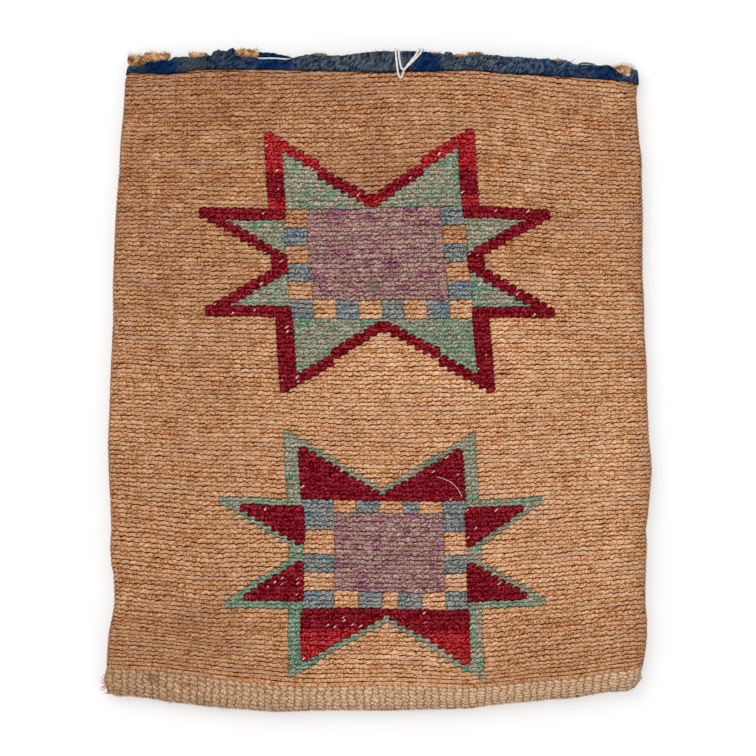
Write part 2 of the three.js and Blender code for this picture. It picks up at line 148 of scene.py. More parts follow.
# Stars: node names' stem, middle in stitches right of the bag's middle and in rows above the base,
# half width in stitches, the centre and blue checks as left, bottom, right and top, the runs of rows where the red
# is bright, and the middle, reach across and up and share of the green that has kept its dye.
STARS = (
    {
        "name": "upper_star",
        "across": 3,
        "row": 94,
        "half": 14,
        "border": "red",
        "field": "green",
        "center": (-9, -8, 9, 12),
        "checks": (
            (-12, 4, -9, 8), (-12, -4, -9, 0), (-12, -12, -9, -8), (-6, -12, -3, -8), (0, -12, 3, -8),
            (6, -12, 9, -8), (9, -8, 12, -4), (9, 0, 12, 4), (9, 8, 12, 12),
        ),
        "bright": ((12, 14.4), (20, 30)),
        "fresh": (9, -20, 9, 10, 0.5),
    },
    {
        "name": "lower_star",
        "across": 1.5,
        "row": 29,
        "half": 12.5,
        "border": "green",
        "field": "red",
        "center": (-6.5, -8, 7.5, 9),
        "checks": (
            (-10.5, 5, -6.5, 12), (-10.5, -4, -6.5, 0), (-10.5, -12, -6.5, -8), (-3.5, -12, -0.5, -8),
            (1.5, -12, 4.5, -8), (7.5, -12, 10.5, -8), (7.5, -4, 10.5, 0), (7.5, 5, 10.5, 12),
            (2.5, 9, 4.5, 12), (-3.5, 9, -0.5, 12),
        ),
        "bright": ((-30, -16.5),),
        "fresh": (-14, -14, 11, 22, 1.0),
    },
)  # fmt: skip

# How a star is counted: rows from its middle to the notch between two arms, rows that the notch's edge climbs with
# each stitch, rows from the middle to the top of the side points and of the border there, stitches and rows of the
# border elsewhere, and stitches that the side points reach past the arms.
ARM_NOTCH = 15.3
ARM_SLOPE = 1.03
BAR_TOP = 12
BAR_ROWS = 2
BORDER = 2
REACH = 9

# Spans that a stitch is cut into, across, and up on the front, the back and the base.
SPANS_ACROSS = 4
FRONT_SPANS_UP = 3
BACK_SPANS_UP = 2
BASE_SPANS_UP = 4

# Pitch of the stitches and rows in the finishes, in millimetres, and how the fibres in them slope across and up.
FINISH_STITCH, FINISH_ROW = 3.58, 2.1
SLOPE_ACROSS, SLOPE_UP = 0.82, 0.57

# Rim, in metres: where the rows start to close up below the binding, room left under its fold and between cloth and
# wall, the step in the wall's face under the cloth's lower edge, and how thick the cloth's lumps are.
CLOSE_ROWS, FOLD_ROOM, CLOTH_ROOM, STEP_LEAD, STEP_RUN, CLOTH_LUMP = 0.004, 0.0009, 0.0003, 0.0004, 0.001, 0.00012

# Base, in metres: depth of the furrows between its ribs and how far the ribs wander, and the lump at its left fold by
# height up the bag, reach up, thickness and the place across where it starts and over which it grows.
BASE_FURROW, BASE_WANDER = 0.0005, 0.0007
LUMP_UP, LUMP_REACH, LUMP_THICK, LUMP_AT, LUMP_RUN = 0.0065, 0.004, 0.0019, -0.1195, 0.006

# Edge cord of the base: shares of the width where it starts and ends, points, height above the edge, half thickness
# and turns.
CORD_SPAN, CORD_POINTS, CORD_UP, CORD_RADIUS, CORD_TURNS = (0.015, 0.985), 620, 0.0003, 0.00085, 78

# Frayed places of the base: number of fibres, middle of their roots, its spread up the bag and their aim, in
# millimetres, then the number of fibres in all, and the base's width and its edge's place on the plan.
BASE_FRAY = (
    (34, (-127.0, -140.2, 7.5), 1.8, (-1, -0.4, 0)),
    (12, (-95.6, -148.6, 6.5), 0.5, (-0.8, -0.6, 0.1)),
    (10, (-71.0, -151.2, 6.5), 0.5, (-0.4, -0.8, 0.1)),
)
BASE_FIBRES, BASE_WIDE, BASE_DOWN = 190, 249, 152.8

# Rim's own cord, in millimetres: its plies, how far below the bag's face it lies, and a loose loop of it at the right
# by its middle and its reach across and up.
CORD_PLIES, RIM_INNER = 4, 3.7
RIM_LOOP = (114.7, 145.5, 5.3, 2.9)

# Fibres of the nap along the binding's upper edge, and the left and right end of it in millimetres.
NAP_FIBRES = 1300
NAP_SPAN = (-116, 120)

# Loose threads: name, finish, slot, half thickness and route, in millimetres on the plan and above the bag's face.
LOOSE_THREADS = (
    ("loose_blue_yarn", "blue_fibre", "wool_cloth", 0.5, (
        (93.4, 147.4, -1.6), (94.6, 148.3, -1), (97.0, 148.6, -1), (100.6, 148.0, -0.8), (101.6, 147.0, -1),
    )),
    ("loose_pale_yarn", "pale_fibre", "hemp", 0.4, (
        (-57, 150.8, -1.6), (-49.2, 150.9, -1.2), (-44, 150.6, -1.2), (-39.5, 150.4, -1.8),
    )),
    ("loose_dark_hair", "blue_fibre", "wool_cloth", 0.1, (
        (88.6, 147.6, -1), (89.6, 148.7, -0.4), (90.6, 149.5, -0.3), (92, 150.7, -0.5),
    )),
    ("loose_tan_hair", "rim_fibre", "hemp", 0.12, (
        (40.0, 154.4, -3), (41.7, 153.4, -2.8), (42.6, 151.9, -3.2),
    )),
    ("loose_pale_hair", "pale_fibre", "hemp", 0.11, (
        (27.7, -44.3, 0.1), (31, -45.2, 0.45), (34.7, -47.1, 0.5), (37.6, -50.1, 0.45), (39.4, -53.6, 0.1),
    )),
)  # fmt: skip

# Turns of string: name, the node that each stands for and route, in millimetres on the plan and above the bag's face.
STRING_TURNS = (
    ("string_bight", "string_straight_turn", (
        (9.3, 143.5, -4.4), (8.4, 151.0, -4.6), (8.3, 154.6, -2.8), (8.3, 155.0, -0.75), (8.5, 153.2, 0.45),
        (9.0, 148.5, 0.55), (9.5, 144.6, 0.45), (10.0, 142.6, 0.05), (10.8, 141.9, -0.15), (11.6, 142.8, 0.15),
        (12.2, 144.9, 0.95), (14.6, 148.3, 1.05), (18.0, 152.6, 0.65), (19.4, 155.0, -0.55), (19.7, 154.6, -3.0),
        (19.5, 151.0, -4.6), (18.5, 143.5, -4.4),
    )),
    ("string_over", "string_slanted_turn", (
        (11.2, 143.5, -4.4), (10.0, 151.0, -4.6), (9.7, 154.6, -2.8), (9.7, 155.0, -0.75), (9.9, 153.2, 0.45),
        (10.5, 148.8, 0.75), (11.2, 146.2, 1.35), (12.0, 145.7, 1.65), (13.4, 146.6, 1.35), (16.6, 149.6, 0.95),
        (19.8, 153.0, 0.55), (20.9, 155.0, -0.55), (21.1, 154.6, -3.0), (21.0, 151.0, -4.6), (20.2, 143.5, -4.4),
    )),
)  # fmt: skip


def spots_at(z, deep, *spots):
    """Soft spots at one height, as centre, reach and amount, from places and reaches across and up and amounts."""
    return [((x, y, z), (wide, tall, deep), amount) for x, y, wide, tall, amount in spots]


# Soft spots in the finishes: soil on the husk and painted shade along its right fold, grey on the husk, red dye that
# ran round a small slit in it, soil on the hemp, a stain on the yarn, and on the binding the places where its nap is
# kept, thin or gone and where the cloth is dark.
HUSK_SOIL_AND_FOLD_SHADE = spots_at(
    0.012, 0.1,
    (-0.11, 0.13, 0.13, 0.1, 0.35), (-0.13, 0.0, 0.1, 0.3, 0.3), (0.02, 0.13, 0.3, 0.13, 0.3),
    (-0.1, -0.13, 0.13, 0.05, 0.63), (0.1, -0.14, 0.11, 0.06, 0.65), (0.12, 0.075, 0.09, 0.085, 0.55),
    (-0.04, 0.1, 0.12, 0.12, 0.3), (-0.07, -0.05, 0.11, 0.12, 0.45), (0.01, 0.08, 0.09, 0.06, 0.6),
    # The last spot is painted shade along the right fold, darker towards the edge where the wall turns away.
    (-0.1, 0.05, 0.08, 0.07, 0.33), (0.0, 0.15, 0.3, 0.05, 0.5), (0.13, -0.045, 0.024, 0.17, 0.45),
)  # fmt: skip
HUSK_GREY = spots_at(0.012, 0.02, (0.058, 0.139, 0.006, 0.004, 0.6))
HUSK_GREY += spots_at(0.01, 0.02, (0.1255, -0.035, 0.0025, 0.009, 0.4))
RUN_DYE = spots_at(0.0112, 0.02, (0.0591, 0.0021, 0.004, 0.0028, 0.4))
SLIT = spots_at(0.0112, 0.02, (0.0591, 0.0021, 0.0052, 0.001, 1.0))
HEMP_SOIL = spots_at(0.01, 0.03, (-0.125, -0.14, 0.07, 0.03, 0.68), (-0.06, -0.146, 0.05, 0.03, 0.42))
HEMP_SOIL += spots_at(0.01, 0.02, (-0.1036, -0.1392, 0.0045, 0.004, 0.9), (-0.089, -0.1428, 0.0035, 0.003, 0.9))
YARN_STAIN = spots_at(0.0112, 0.02, (-0.002, 0.0425, 0.0055, 0.0055, 0.6))
NAP_KEPT = spots_at(
    0.011, 0.03,
    (-0.1007, 0.146, 0.0125, 0.02, 1.0), (0.0235, 0.147, 0.011, 0.02, 1.0), (0.109, 0.141, 0.014, 0.02, 0.8),
)  # fmt: skip
NAP_KEPT += spots_at(0.006, 0.03, (-0.05, 0.147, 0.02, 0.02, 1.0))
NAP_THIN = spots_at(0.011, 0.03, (0.09, 0.143, 0.05, 0.03, 1.0))
NAP_GONE = spots_at(0.011, 0.03, (-0.086, 0.147, 0.009, 0.012, 1.0))
CLOTH_DARK = spots_at(0.011, 0.03, (-0.085, 0.147, 0.075, 0.04, 1.0))

# What soil leaves of the light from a finish: in clouds and in spots on the husk and the hemp, and on the dark part of
# the binding. The husk's spot tint also makes the painted shade along its right fold, and the last tint is painted
# shade along the binding's lower edge.
HUSK_CLOUD, HUSK_SPOT = (0.62, 0.55, 0.5, 1.0), (0.66, 0.6, 0.55, 1.0)
HEMP_CLOUD, HEMP_SPOT = (0.6, 0.57, 0.55, 1.0), (0.62, 0.56, 0.5, 1.0)
CLOTH_SPOT, CLOTH_HEM_SHADE = (0.5, 0.7, 0.85, 1.0), (0.25, 0.27, 0.3, 1.0)

# Screen values that the shaded, middle and lit yarn of a stitch are darker or paler by.
YARN_STEPS = (-56, 0, 46)

# Stage, in metres: half of the floor's width and how far it lies below the bag, how much light the floor gives to the
# view and the world to the bag, the lamps' places, sizes and powers, and the camera's place, the height of the bag's
# face, the width that the camera shows there and its sensor in millimetres.
FLOOR_HALF, FLOOR_DROP, FLOOR_GLOW, WORLD_LIGHT = 3, 0.0003, 0.48, 0.62
LAMPS = (("key", (-0.6, 0.9, 1.6), 1.6, 17.0), ("fill", (0.8, -0.4, 1.5), 1.6, 4.0))
CAMERA_AT, FACE_HEIGHT, VIEW_WIDTH, SENSOR = (0.00058, 0.00006, 2.5), 0.0118, 0.3523, 36.0


def srgb(red, green, blue):
    """Linear colour of 0 to 255 screen values."""
    share = np.array((red, green, blue)) / 255
    return tuple(np.where(share <= 0.04045, share / 12.92, ((share + 0.055) / 1.055) ** 2.4).tolist())


def length(name, description, default):
    """Size that a user may change."""
    return FloatProperty(name=name, description=description, default=default, unit="LENGTH", precision=5)


def colour(name, description, *values):
    """Colour that a user may change, from its screen values."""
    return FloatVectorProperty(
        name=name, description=description, default=srgb(*values), subtype="COLOR", size=3, min=0, max=1
    )


class BagSizes(bpy.types.PropertyGroup):
    """Sizes of the bag"""

    width: length("Width", "Width before the sides draw in", 0.251)
    long: length("Length", "Length from base to rim before the ends draw in", 0.306)
    thickness: length("Thickness", "Thickness of the bag as it lies", 0.0118)
    wall: length("Wall", "Thickness of the woven wall", 0.0024)
    stitches: IntProperty(name="Stitches", description="Stitches all round the bag", default=144, min=16)
    rows: IntProperty(name="Rows", description="Rows of husk up to the edge of the rim", default=140, min=16)
    row_pitch: length("Row Pitch", "Height of a row", 0.0021)
    base_rows: IntProperty(name="Base Rows", description="Rows of plain hemp at the base", default=6, min=2)
    base_top: length("Base Top", "Height of the plain hemp base", 0.0115)
    base_round: length("Base Round", "How far up the base is rounded", 0.005)
    lean: FloatProperty(name="Lean", description="Stitches that the columns lean left from base to rim", default=5.5)
    groove: length("Groove", "Depth of the groove between rows", 0.00055)
    yarn_rise: length("Yarn Rise", "How far the yarn stands out of the husk", 0.0002)
    binding: length("Binding", "Thickness of the cloth binding", 0.0008)
    binding_low: length("Binding Low", "Height of the binding's lower edge up the bag", 0.2967)
    binding_turn: length("Binding Turn", "How far the binding reaches down inside", 0.007)
    rim_wall: length("Rim Wall", "Thickness of the wall inside the binding", 0.0013)
    string: length("String", "Thickness of a strand of the string", 0.00095)


class BagColours(bpy.types.PropertyGroup):
    """Colours of the bag"""

    husk: colour("Husk", "Most of the cornhusk", 246, 180, 126)
    husk_gold: colour("Golden Husk", "The palest strips of husk", 250, 217, 183)
    husk_brown: colour("Brown Husk", "The darkest strips of husk", 163, 94, 38)
    husk_grey: colour("Grey Husk", "Weathered strips of husk", 196, 158, 134)
    # Painted shade of the grooves between the rows and of the seams between the stitches.
    groove: colour("Groove", "Between the rows", 102, 36, 0)
    hemp: colour("Hemp", "Plain hemp of the base", 255, 216, 179)
    # This colour, 76 screen values darker, is also the painted shade in the corners between the base's stitches.
    hemp_dark: colour("Dark Hemp", "Soiled hemp of the base", 184, 138, 98)
    red: colour("Crimson", "Most of the red yarn", 126, 6, 22)
    red_bright: colour("Bright Red", "The brighter runs of red yarn", 172, 28, 33)
    green: colour("Green", "Faded green yarn", 155, 150, 127)
    green_fresh: colour("Fresh Green", "Green yarn that has kept its dye", 122, 149, 125)
    teal: colour("Teal", "Stronger stitches in the green yarn", 106, 144, 119)
    blue: colour("Blue", "Blue yarn of the checks", 138, 138, 133)
    sky: colour("Sky", "Stronger stitches in the blue yarn", 110, 124, 134)
    lavender: colour("Lavender", "Faded yarn of the centres", 166, 127, 120)
    purple: colour("Purple", "Stitches of the centres that have kept their dye", 142, 84, 104)
    cord: colour("Cord", "Rim cord", 246, 196, 140)
    cord_dark: colour("Dark Cord", "Darker fibres of the rim cord", 112, 60, 24)
    pale: colour("Pale", "Bare hemp that shows through", 226, 200, 170)
    fleck: colour("Fleck", "Undyed flecks in the yarn", 240, 216, 202)
    navy: colour("Navy", "Darkest of the binding", 0, 20, 48)
    royal: colour("Royal", "Binding where its nap is left", 40, 90, 150)
    denim: colour("Denim", "Binding where its nap is thin", 108, 136, 168)
    slate: colour("Slate", "Binding where it is worn", 132, 141, 137)
    drab: colour("Drab", "Binding where it is worn thin", 116, 106, 90)
    string: colour("String", "White string", 240, 237, 230)


# Curves, noise and the wall's form


def along(values, share):
    """Smooth value at a share of the way along evenly spaced values."""
    values = np.asarray(values, float)
    last = len(values) - 1
    spot = np.clip(share, 0, 1) * last
    i = np.minimum(spot.astype(int), last - 1)
    t = spot - i
    before, low, high, after = (values[np.clip(i + k, 0, last)] for k in (-1, 0, 1, 2))
    start, end = (high - before) / 2, (after - low) / 2
    return ((2 * low - 2 * high + start + end) * t + 3 * high - 3 * low - 2 * start - end) * t * t + start * t + low


def read(table, spot):
    """Value at a spot between the pairs of a table."""
    return np.interp(spot, *zip(*table))


def smooth(value):
    """Value from 0 to 1 with a soft start and end."""
    value = np.clip(value, 0, 1)
    return value * value * (3 - 2 * value)


def noise(seed, u, v, period=0):
    """Smooth noise from -1 to 1 over a lattice of one unit, which repeats after a period of u."""
    u, v = np.broadcast_arrays(np.asarray(u, float), np.asarray(v, float))
    u, v = u - (0 if period else math.floor(u.min())), v - math.floor(v.min())
    across = period or int(u.max()) + 2
    table = np.random.default_rng(seed).uniform(-1, 1, (int(v.max()) + 2, across))
    i, j = np.floor(u).astype(int), np.floor(v).astype(int)
    s, t = smooth(u - i), smooth(v - j)
    low = table[j, i % across] * (1 - s) + table[j, (i + 1) % across] * s
    high = table[j + 1, i % across] * (1 - s) + table[j + 1, (i + 1) % across] * s
    return low * (1 - t) + high * t


def sides(sizes, height):
    """Left and right edge of the plan at a height."""
    up = height / sizes.long
    return along(LEFT_DRAW_IN, up) * MM - sizes.width / 2, sizes.width / 2 - along(RIGHT_DRAW_IN, up) * MM


def ends(sizes, across):
    """Lower and upper edge of the plan at a share of the way across."""
    return along(BASE_DRAW_IN, across) * MM - sizes.long / 2, sizes.long / 2 - along(RIM_DRAW_IN, across) * MM


def ring_length(sizes, height):
    """Length all round the bag at a height."""
    left, right = sides(sizes, height)
    return 2 * (right - left) + (math.pi - 2) * sizes.thickness


def place(sizes, ring, height, depth):
    """Point on the wall: distance right of the front's middle round the bag, height, and depth in from its face."""
    left, right = sides(sizes, height)
    wide, fold = right - left, sizes.thickness / 2
    flat = wide / 2 - fold
    far = np.abs(ring)
    turn = np.clip((far - flat) / fold, 0, math.pi)
    reach = np.minimum(far, flat) - np.maximum(far - flat - math.pi * fold, 0)
    half = fold * np.sqrt(1 - (1 - np.clip(height / sizes.base_round, 0, 1)) ** 2)
    x = np.sign(ring) * (reach + (fold - depth) * np.sin(turn))
    z = fold + np.maximum(half - depth, 0) * np.cos(turn)
    base, rim = ends(sizes, 0.5 + x / wide)
    y = base + (rim - base) * height / sizes.long
    out = np.where(x < 0, -read(LEFT_SWELL, y / MM), read(RIGHT_SWELL, y / MM))
    x = x + (left + right) / 2 + out * MM * smooth((np.abs(x) / wide - SWELL_START) / SWELL_RUN)
    y = y - read(BASE_SWELL, x / MM) * MM * (1 - smooth(height / BASE_FADE))
    sag = smooth(height / sizes.base_top) * (1 - smooth((height - sizes.base_top) / SAG_FADE))
    y = y - read(JOIN_SAG, x / MM) * MM * sag
    return np.stack((x + PLAN_MIDDLE[0] * MM, y + PLAN_MIDDLE[1] * MM, z), -1)


def leaning(sizes, height):
    """Stitches that the columns have leaned to the left at a height."""
    up = height / sizes.long
    return sizes.lean * up * (1 + up) / 2


def pulled(drift, stitch, row):
    """Drift of the weave at a stitch and row of the front, which fades out round the sides."""
    x, y = np.clip(stitch, *DRIFT_STITCHES) / HALF_STITCHES, np.clip(row, *DRIFT_ROWS) / HALF_ROWS - 1
    powers = [(i, j) for i in range(5) for j in range(5 - i)]
    total = sum(part * x**i * y**j for part, (i, j) in zip(drift, powers))
    corner = smooth((CORNER_STITCH - stitch) / CORNER_STITCHES) * (1 - smooth((row - CORNER_ROW) / CORNER_ROWS))
    return total * smooth((DRIFT_REACH - np.abs(stitch - DRIFT_MIDDLE)) / DRIFT_FADE) * (1 - corner)


class Weave:
    """Points of a woven wall on a grid of stitches and rows, each stitch cut into spans across and up."""

    def __init__(self, sizes, rows, low, pitch, up, seed, groove, slant, lift, drifts=False):
        self.sizes, self.up = sizes, up
        across, count = SPANS_ACROSS, sizes.stitches
        i, j = np.meshgrid(np.arange(count * across + 1), np.arange(rows * up + 1))
        self.stitch, self.row = i / across - count / 2, j / up
        a, b = (i % across) / across, (j % up) / up
        self.valley = ((1 + np.cos(2 * math.pi * b)) / 2) ** 2
        saw = a * across / (across - 1) - 0.5
        free = smooth(np.minimum(self.row, rows - self.row) / 5)

        def uneven(step, wide, tall):
            """Noise over some stitches and rows."""
            return noise(seed + step, i / across / wide, self.row / tall, count // wide)

        wander = 0.22 * uneven(0, 12, 9) + 0.17 * uneven(1, 3, 1.6) + 0.1 * uneven(5, 1, 1)
        drift = 0.2 * uneven(2, 8, 12)
        if drifts:
            for up_star in (self.row - star["row"] for star in STARS):
                wander += 0.029 * up_star * np.exp(-((up_star / 30) ** 2))
            wander += pulled(ROW_DRIFT, self.stitch, self.row)
            drift += pulled(STITCH_DRIFT, self.stitch, self.row)
        self.height = low + pitch * (self.row + (lift * saw + wander) * free)
        shift = drift - slant * np.sin(2 * math.pi * b)
        pitch_round = ring_length(sizes, self.height) / count
        self.ring = (self.stitch + shift - leaning(sizes, self.height)) * pitch_round
        bulge = 0.00008 * (1 + uneven(3, 1, 1))
        sag = 0.0004 * (1 + uneven(4, 12, 16)) / 2
        seam = 0.2 * groove * (a == 0)
        self.depth = groove * self.valley + (seam + bulge) * (1 - self.valley) + sag

    def face(self, rise=0.0):
        """Points of the outer face, raised on the crests of the rows."""
        return place(self.sizes, self.ring, self.height, self.depth - rise * (1 - 0.6 * self.valley))

    def inside(self, depth):
        """Points at an even depth in from the face."""
        return place(self.sizes, self.ring, self.height, np.broadcast_to(depth, self.ring.shape))

    def piece(self, name, cells, material, face, inside, tone=None):
        """Closed piece of some cells, with plain hemp on its inside."""
        spots = np.stack((self.stitch, self.row, np.zeros_like(self.row)), -1)
        return shell(name, face, inside, cells, SPANS_ACROSS, self.up, [material, "hemp_inside"], spots, tone)


def rim_height(sizes, x, y):
    """Height up the bag of a point of the plan near the rim, given in millimetres."""
    left, right = sides(sizes, np.array(sizes.long))
    base, rim = ends(sizes, (x * MM - left) / (right - left))
    return (y * MM - base) / (rim - base) * sizes.long


def binding_edges(sizes, points):
    """Heights of the binding's lower and upper edge at points of the wall."""
    x = points[..., 0] / MM - PLAN_MIDDLE[0]
    front = smooth(points[..., 2] / sizes.thickness)
    low = front * rim_height(sizes, x, read(FRONT_LOW, x)) + (1 - front) * sizes.binding_low
    top = front * read(FRONT_TOP, x) + (1 - front) * read(BACK_TOP, x)
    return low, rim_height(sizes, x, top)


def front_cells(weave):
    """Cells of a weave that show from the front, with one stitch round each side."""
    middle = (slice(weave.up // 2, None, weave.up), slice(SPANS_ACROSS // 2, None, SPANS_ACROSS))
    ring, height = weave.ring[middle], weave.height[middle]
    quarter = ring_length(weave.sizes, height) / 4
    turned = (ring + 2 * quarter) % (4 * quarter) - 2 * quarter
    return np.abs(turned) < quarter + ROUND_SIDE


# Star patterns, as cells of the weave


def star_cells(sizes, star):
    """Masks of the border, field, centre and checks of a star, by row and stitch."""
    x = np.arange(sizes.stitches) - sizes.stitches / 2 + 0.5 - star["across"]
    y = np.arange(sizes.rows) + 0.5 - star["row"]
    x, y = np.meshgrid(x, y)
    wide, tall, half = np.abs(x), np.abs(y), star["half"]
    arm_top = np.floor(ARM_NOTCH + ARM_SLOPE * wide)
    side_end = np.minimum(half - 1 + np.floor(tall), half + REACH)
    whole = (wide < half) & (tall < arm_top) | (tall < BAR_TOP) & (wide < side_end)
    inner_arm = (wide < half - BORDER) & (tall < arm_top - BORDER)
    inner_side = (tall > BORDER) & (tall < BAR_TOP - BAR_ROWS) & (wide < side_end - BORDER)
    block = (wide < half - BORDER) & (tall < BAR_TOP)

    def within(box):
        return (x > box[0]) & (x < box[2]) & (y > box[1]) & (y < box[3])

    return {
        "border": whole & ~inner_arm & ~inner_side,
        "field": (inner_arm | inner_side) & ~block,
        "center": within(star["center"]),
        "checks": np.any([within(box) for box in star["checks"]], 0),
    }


# Meshes


def islands(mask):
    """A number for each group of cells that join along their sides."""
    label = np.where(mask, np.arange(1, mask.size + 1).reshape(mask.shape), 0)
    while True:
        grown = np.pad(label, 1)
        near = np.max([grown[1:-1, 1:-1], grown[:-2, 1:-1], grown[2:, 1:-1], grown[1:-1, :-2], grown[1:-1, 2:]], 0)
        near = np.where(mask, near, 0)
        if (near == label).all():
            return label
        label = near


def new_object(name, points, faces, materials, hidden=None, **attributes):
    """Mesh object from arrays of faces, each of one size. Hidden faces are flat and have the second material."""
    mesh = bpy.data.meshes.new(name)
    mesh.vertices.add(len(points))
    mesh.vertices.foreach_set("co", points.astype(np.float32).ravel())
    sizes = np.concatenate([np.full(len(group), group.shape[1]) for group in faces])
    mesh.loops.add(int(sizes.sum()))
    mesh.loops.foreach_set("vertex_index", np.concatenate([group.ravel() for group in faces]).astype(np.int32))
    mesh.polygons.add(len(sizes))
    mesh.polygons.foreach_set("loop_start", (np.cumsum(sizes) - sizes).astype(np.int32))
    hidden = np.zeros(len(sizes), bool) if hidden is None else hidden
    mesh.polygons.foreach_set("material_index", hidden.astype(np.int32))
    mesh.polygons.foreach_set("use_smooth", ~hidden)
    for key, values in attributes.items():
        kind, field = ("FLOAT", "value") if values.ndim == 1 else ("FLOAT_VECTOR", "vector")
        layer = mesh.attributes.new(key, kind, "POINT")
        layer.data.foreach_set(field, values.astype(np.float32).ravel())
    mesh.update(calc_edges=True)
    if mesh.validate():
        raise RuntimeError(f"{name} has faulty faces")
    for material in materials:
        mesh.materials.append(bpy.data.materials[material])
    piece = bpy.data.objects.new(name, mesh)
    bpy.context.scene.collection.objects.link(piece)
    return piece


def shell(name, face, inside, mask, across, up, materials, weave, tone=None):
    """Closed piece from the cells of a mask: a fine outer face, a plain inner face and walls round the edge."""
    label = islands(mask)
    wide, count = face.shape[1], face.shape[0] * face.shape[1]
    r, n = np.nonzero(mask)
    island = label[r, n].astype(np.int64)

    def key(side, j, i):
        return (island * 2 + side) * count + j * wide + i

    j, i = r * up, n * across
    around = np.pad(mask, 1)
    is_open = [~around[r, n + 1], ~around[r + 1, n + 2], ~around[r + 2, n + 1], ~around[r + 1, n]]
    outer = []
    for dj in range(up):
        for di in range(across):
            spots = ((dj, di), (dj, di + 1), (dj + 1, di + 1), (dj + 1, di))
            outer.append(np.stack([key(0, j + p, i + q) for p, q in spots], 1))
    edges = (
        [(0, d) for d in range(across + 1)],
        [(d, across) for d in range(up + 1)],
        [(up, across - d) for d in range(across + 1)],
        [(up - d, 0) for d in range(up + 1)],
    )
    hidden = []
    flags = sum(side * 2**k for k, side in enumerate(is_open))
    for flag in np.unique(flags):
        path = [spot for k, edge in enumerate(edges) for d, spot in enumerate(edge[:-1]) if d == 0 or flag & 2**k]
        corners = np.stack([key(1, j + p, i + q) for p, q in reversed(path)], 1)
        hidden.append(corners[flags == flag])
    for side, edge in zip(is_open, edges):
        for (p, q), (v, w) in zip(edge[:-1], edge[1:]):
            wall = (key(0, j + v, i + w), key(0, j + p, i + q), key(1, j + p, i + q), key(1, j + v, i + w))
            hidden.append(np.stack(wall, 1)[side])
    hidden = [group for group in hidden if len(group)]
    faces = [np.concatenate(outer), *hidden]
    keys = np.unique(np.concatenate([group.ravel() for group in faces]))
    faces = [np.searchsorted(keys, group) for group in faces]
    spot, side = keys % count, (keys // count) % 2
    points = np.where(side[:, None] == 0, face.reshape(-1, 3)[spot], inside.reshape(-1, 3)[spot])
    is_hidden = np.arange(sum(len(group) for group in faces)) >= len(faces[0])
    extra = {} if tone is None else {"tone": tone.ravel()[spot]}
    return new_object(name, points, faces, materials, is_hidden, weave=weave.reshape(-1, 3)[spot], **extra)


def strands(name, paths, radius, corners, material, ply=0.0, turns=0.0):
    """Closed tubes along paths, tapering where radius is a list, with plies that twist where ply is given."""
    paths = np.asarray(paths, float)
    many, steps, _ = paths.shape
    radius = np.broadcast_to(np.asarray(radius, float), (many, steps))
    run = np.gradient(paths, axis=1)
    run /= np.linalg.norm(run, axis=2, keepdims=True) + 1e-12
    side = np.cross(run, np.where(np.abs(run[..., 2:]) > 0.8, (1.0, 0, 0), (0, 0, 1.0)))
    side /= np.linalg.norm(side, axis=2, keepdims=True) + 1e-12
    over = np.cross(side, run)
    angle = np.arange(corners) * 2 * math.pi / corners
    twist = turns * 2 * math.pi * np.linspace(0, 1, steps)[:, None]
    swell = 1 + ply * np.cos(2 * (angle[None] - twist))
    reach = radius[..., None] * swell[None]
    points = paths[:, :, None] + reach[..., None] * (
        np.cos(angle)[:, None] * side[:, :, None] + np.sin(angle)[:, None] * over[:, :, None]
    )
    index = np.arange(many * steps * corners).reshape(many, steps, corners)
    turned = np.roll(index, -1, 2)
    around = np.stack((index[:, :-1], index[:, 1:], turned[:, 1:], turned[:, :-1]), -1).reshape(-1, 4)
    ends = np.concatenate((index[:, 0], index[:, -1, ::-1]))
    return new_object(name, points.reshape(-1, 3), [around, ends], [material])


def curled(rng, roots, aims, long, curl, steps=6):
    """Paths of loose fibres that leave their roots towards an aim and curl."""
    t = np.linspace(0, 1, steps)[None, :, None]
    aims = aims / np.linalg.norm(aims, axis=1, keepdims=True)
    bend = rng.normal(0, 1, (len(roots), 1, 3))
    wave = rng.normal(0, 1, (len(roots), 1, 3))
    phase = rng.uniform(0, 6, (len(roots), 1, 1))
    path = aims[:, None] * t + curl * (bend * t**2 + 0.5 * wave * np.sin(6 * t + phase) * t)
    return roots[:, None] + path * np.asarray(long).reshape(-1, 1, 1)


# Materials


class Value:
    """Output of a node, which can be reckoned with."""

    def __init__(self, nodes, socket):
        self.nodes, self.socket = nodes, socket

    def __add__(self, other):
        return self.nodes.math("ADD", self, other)

    def __sub__(self, other):
        return self.nodes.math("SUBTRACT", self, other)

    def __rsub__(self, other):
        return self.nodes.math("SUBTRACT", other, self)

    def __mul__(self, other):
        return self.nodes.math("MULTIPLY", self, other)

    def __truediv__(self, other):
        return self.nodes.math("DIVIDE", self, other)


def spaced(inputs):
    """Inputs by their sockets' names, which have spaces where Python's names have underscores."""
    return {key.replace("_", " "): value for key, value in inputs.items()}


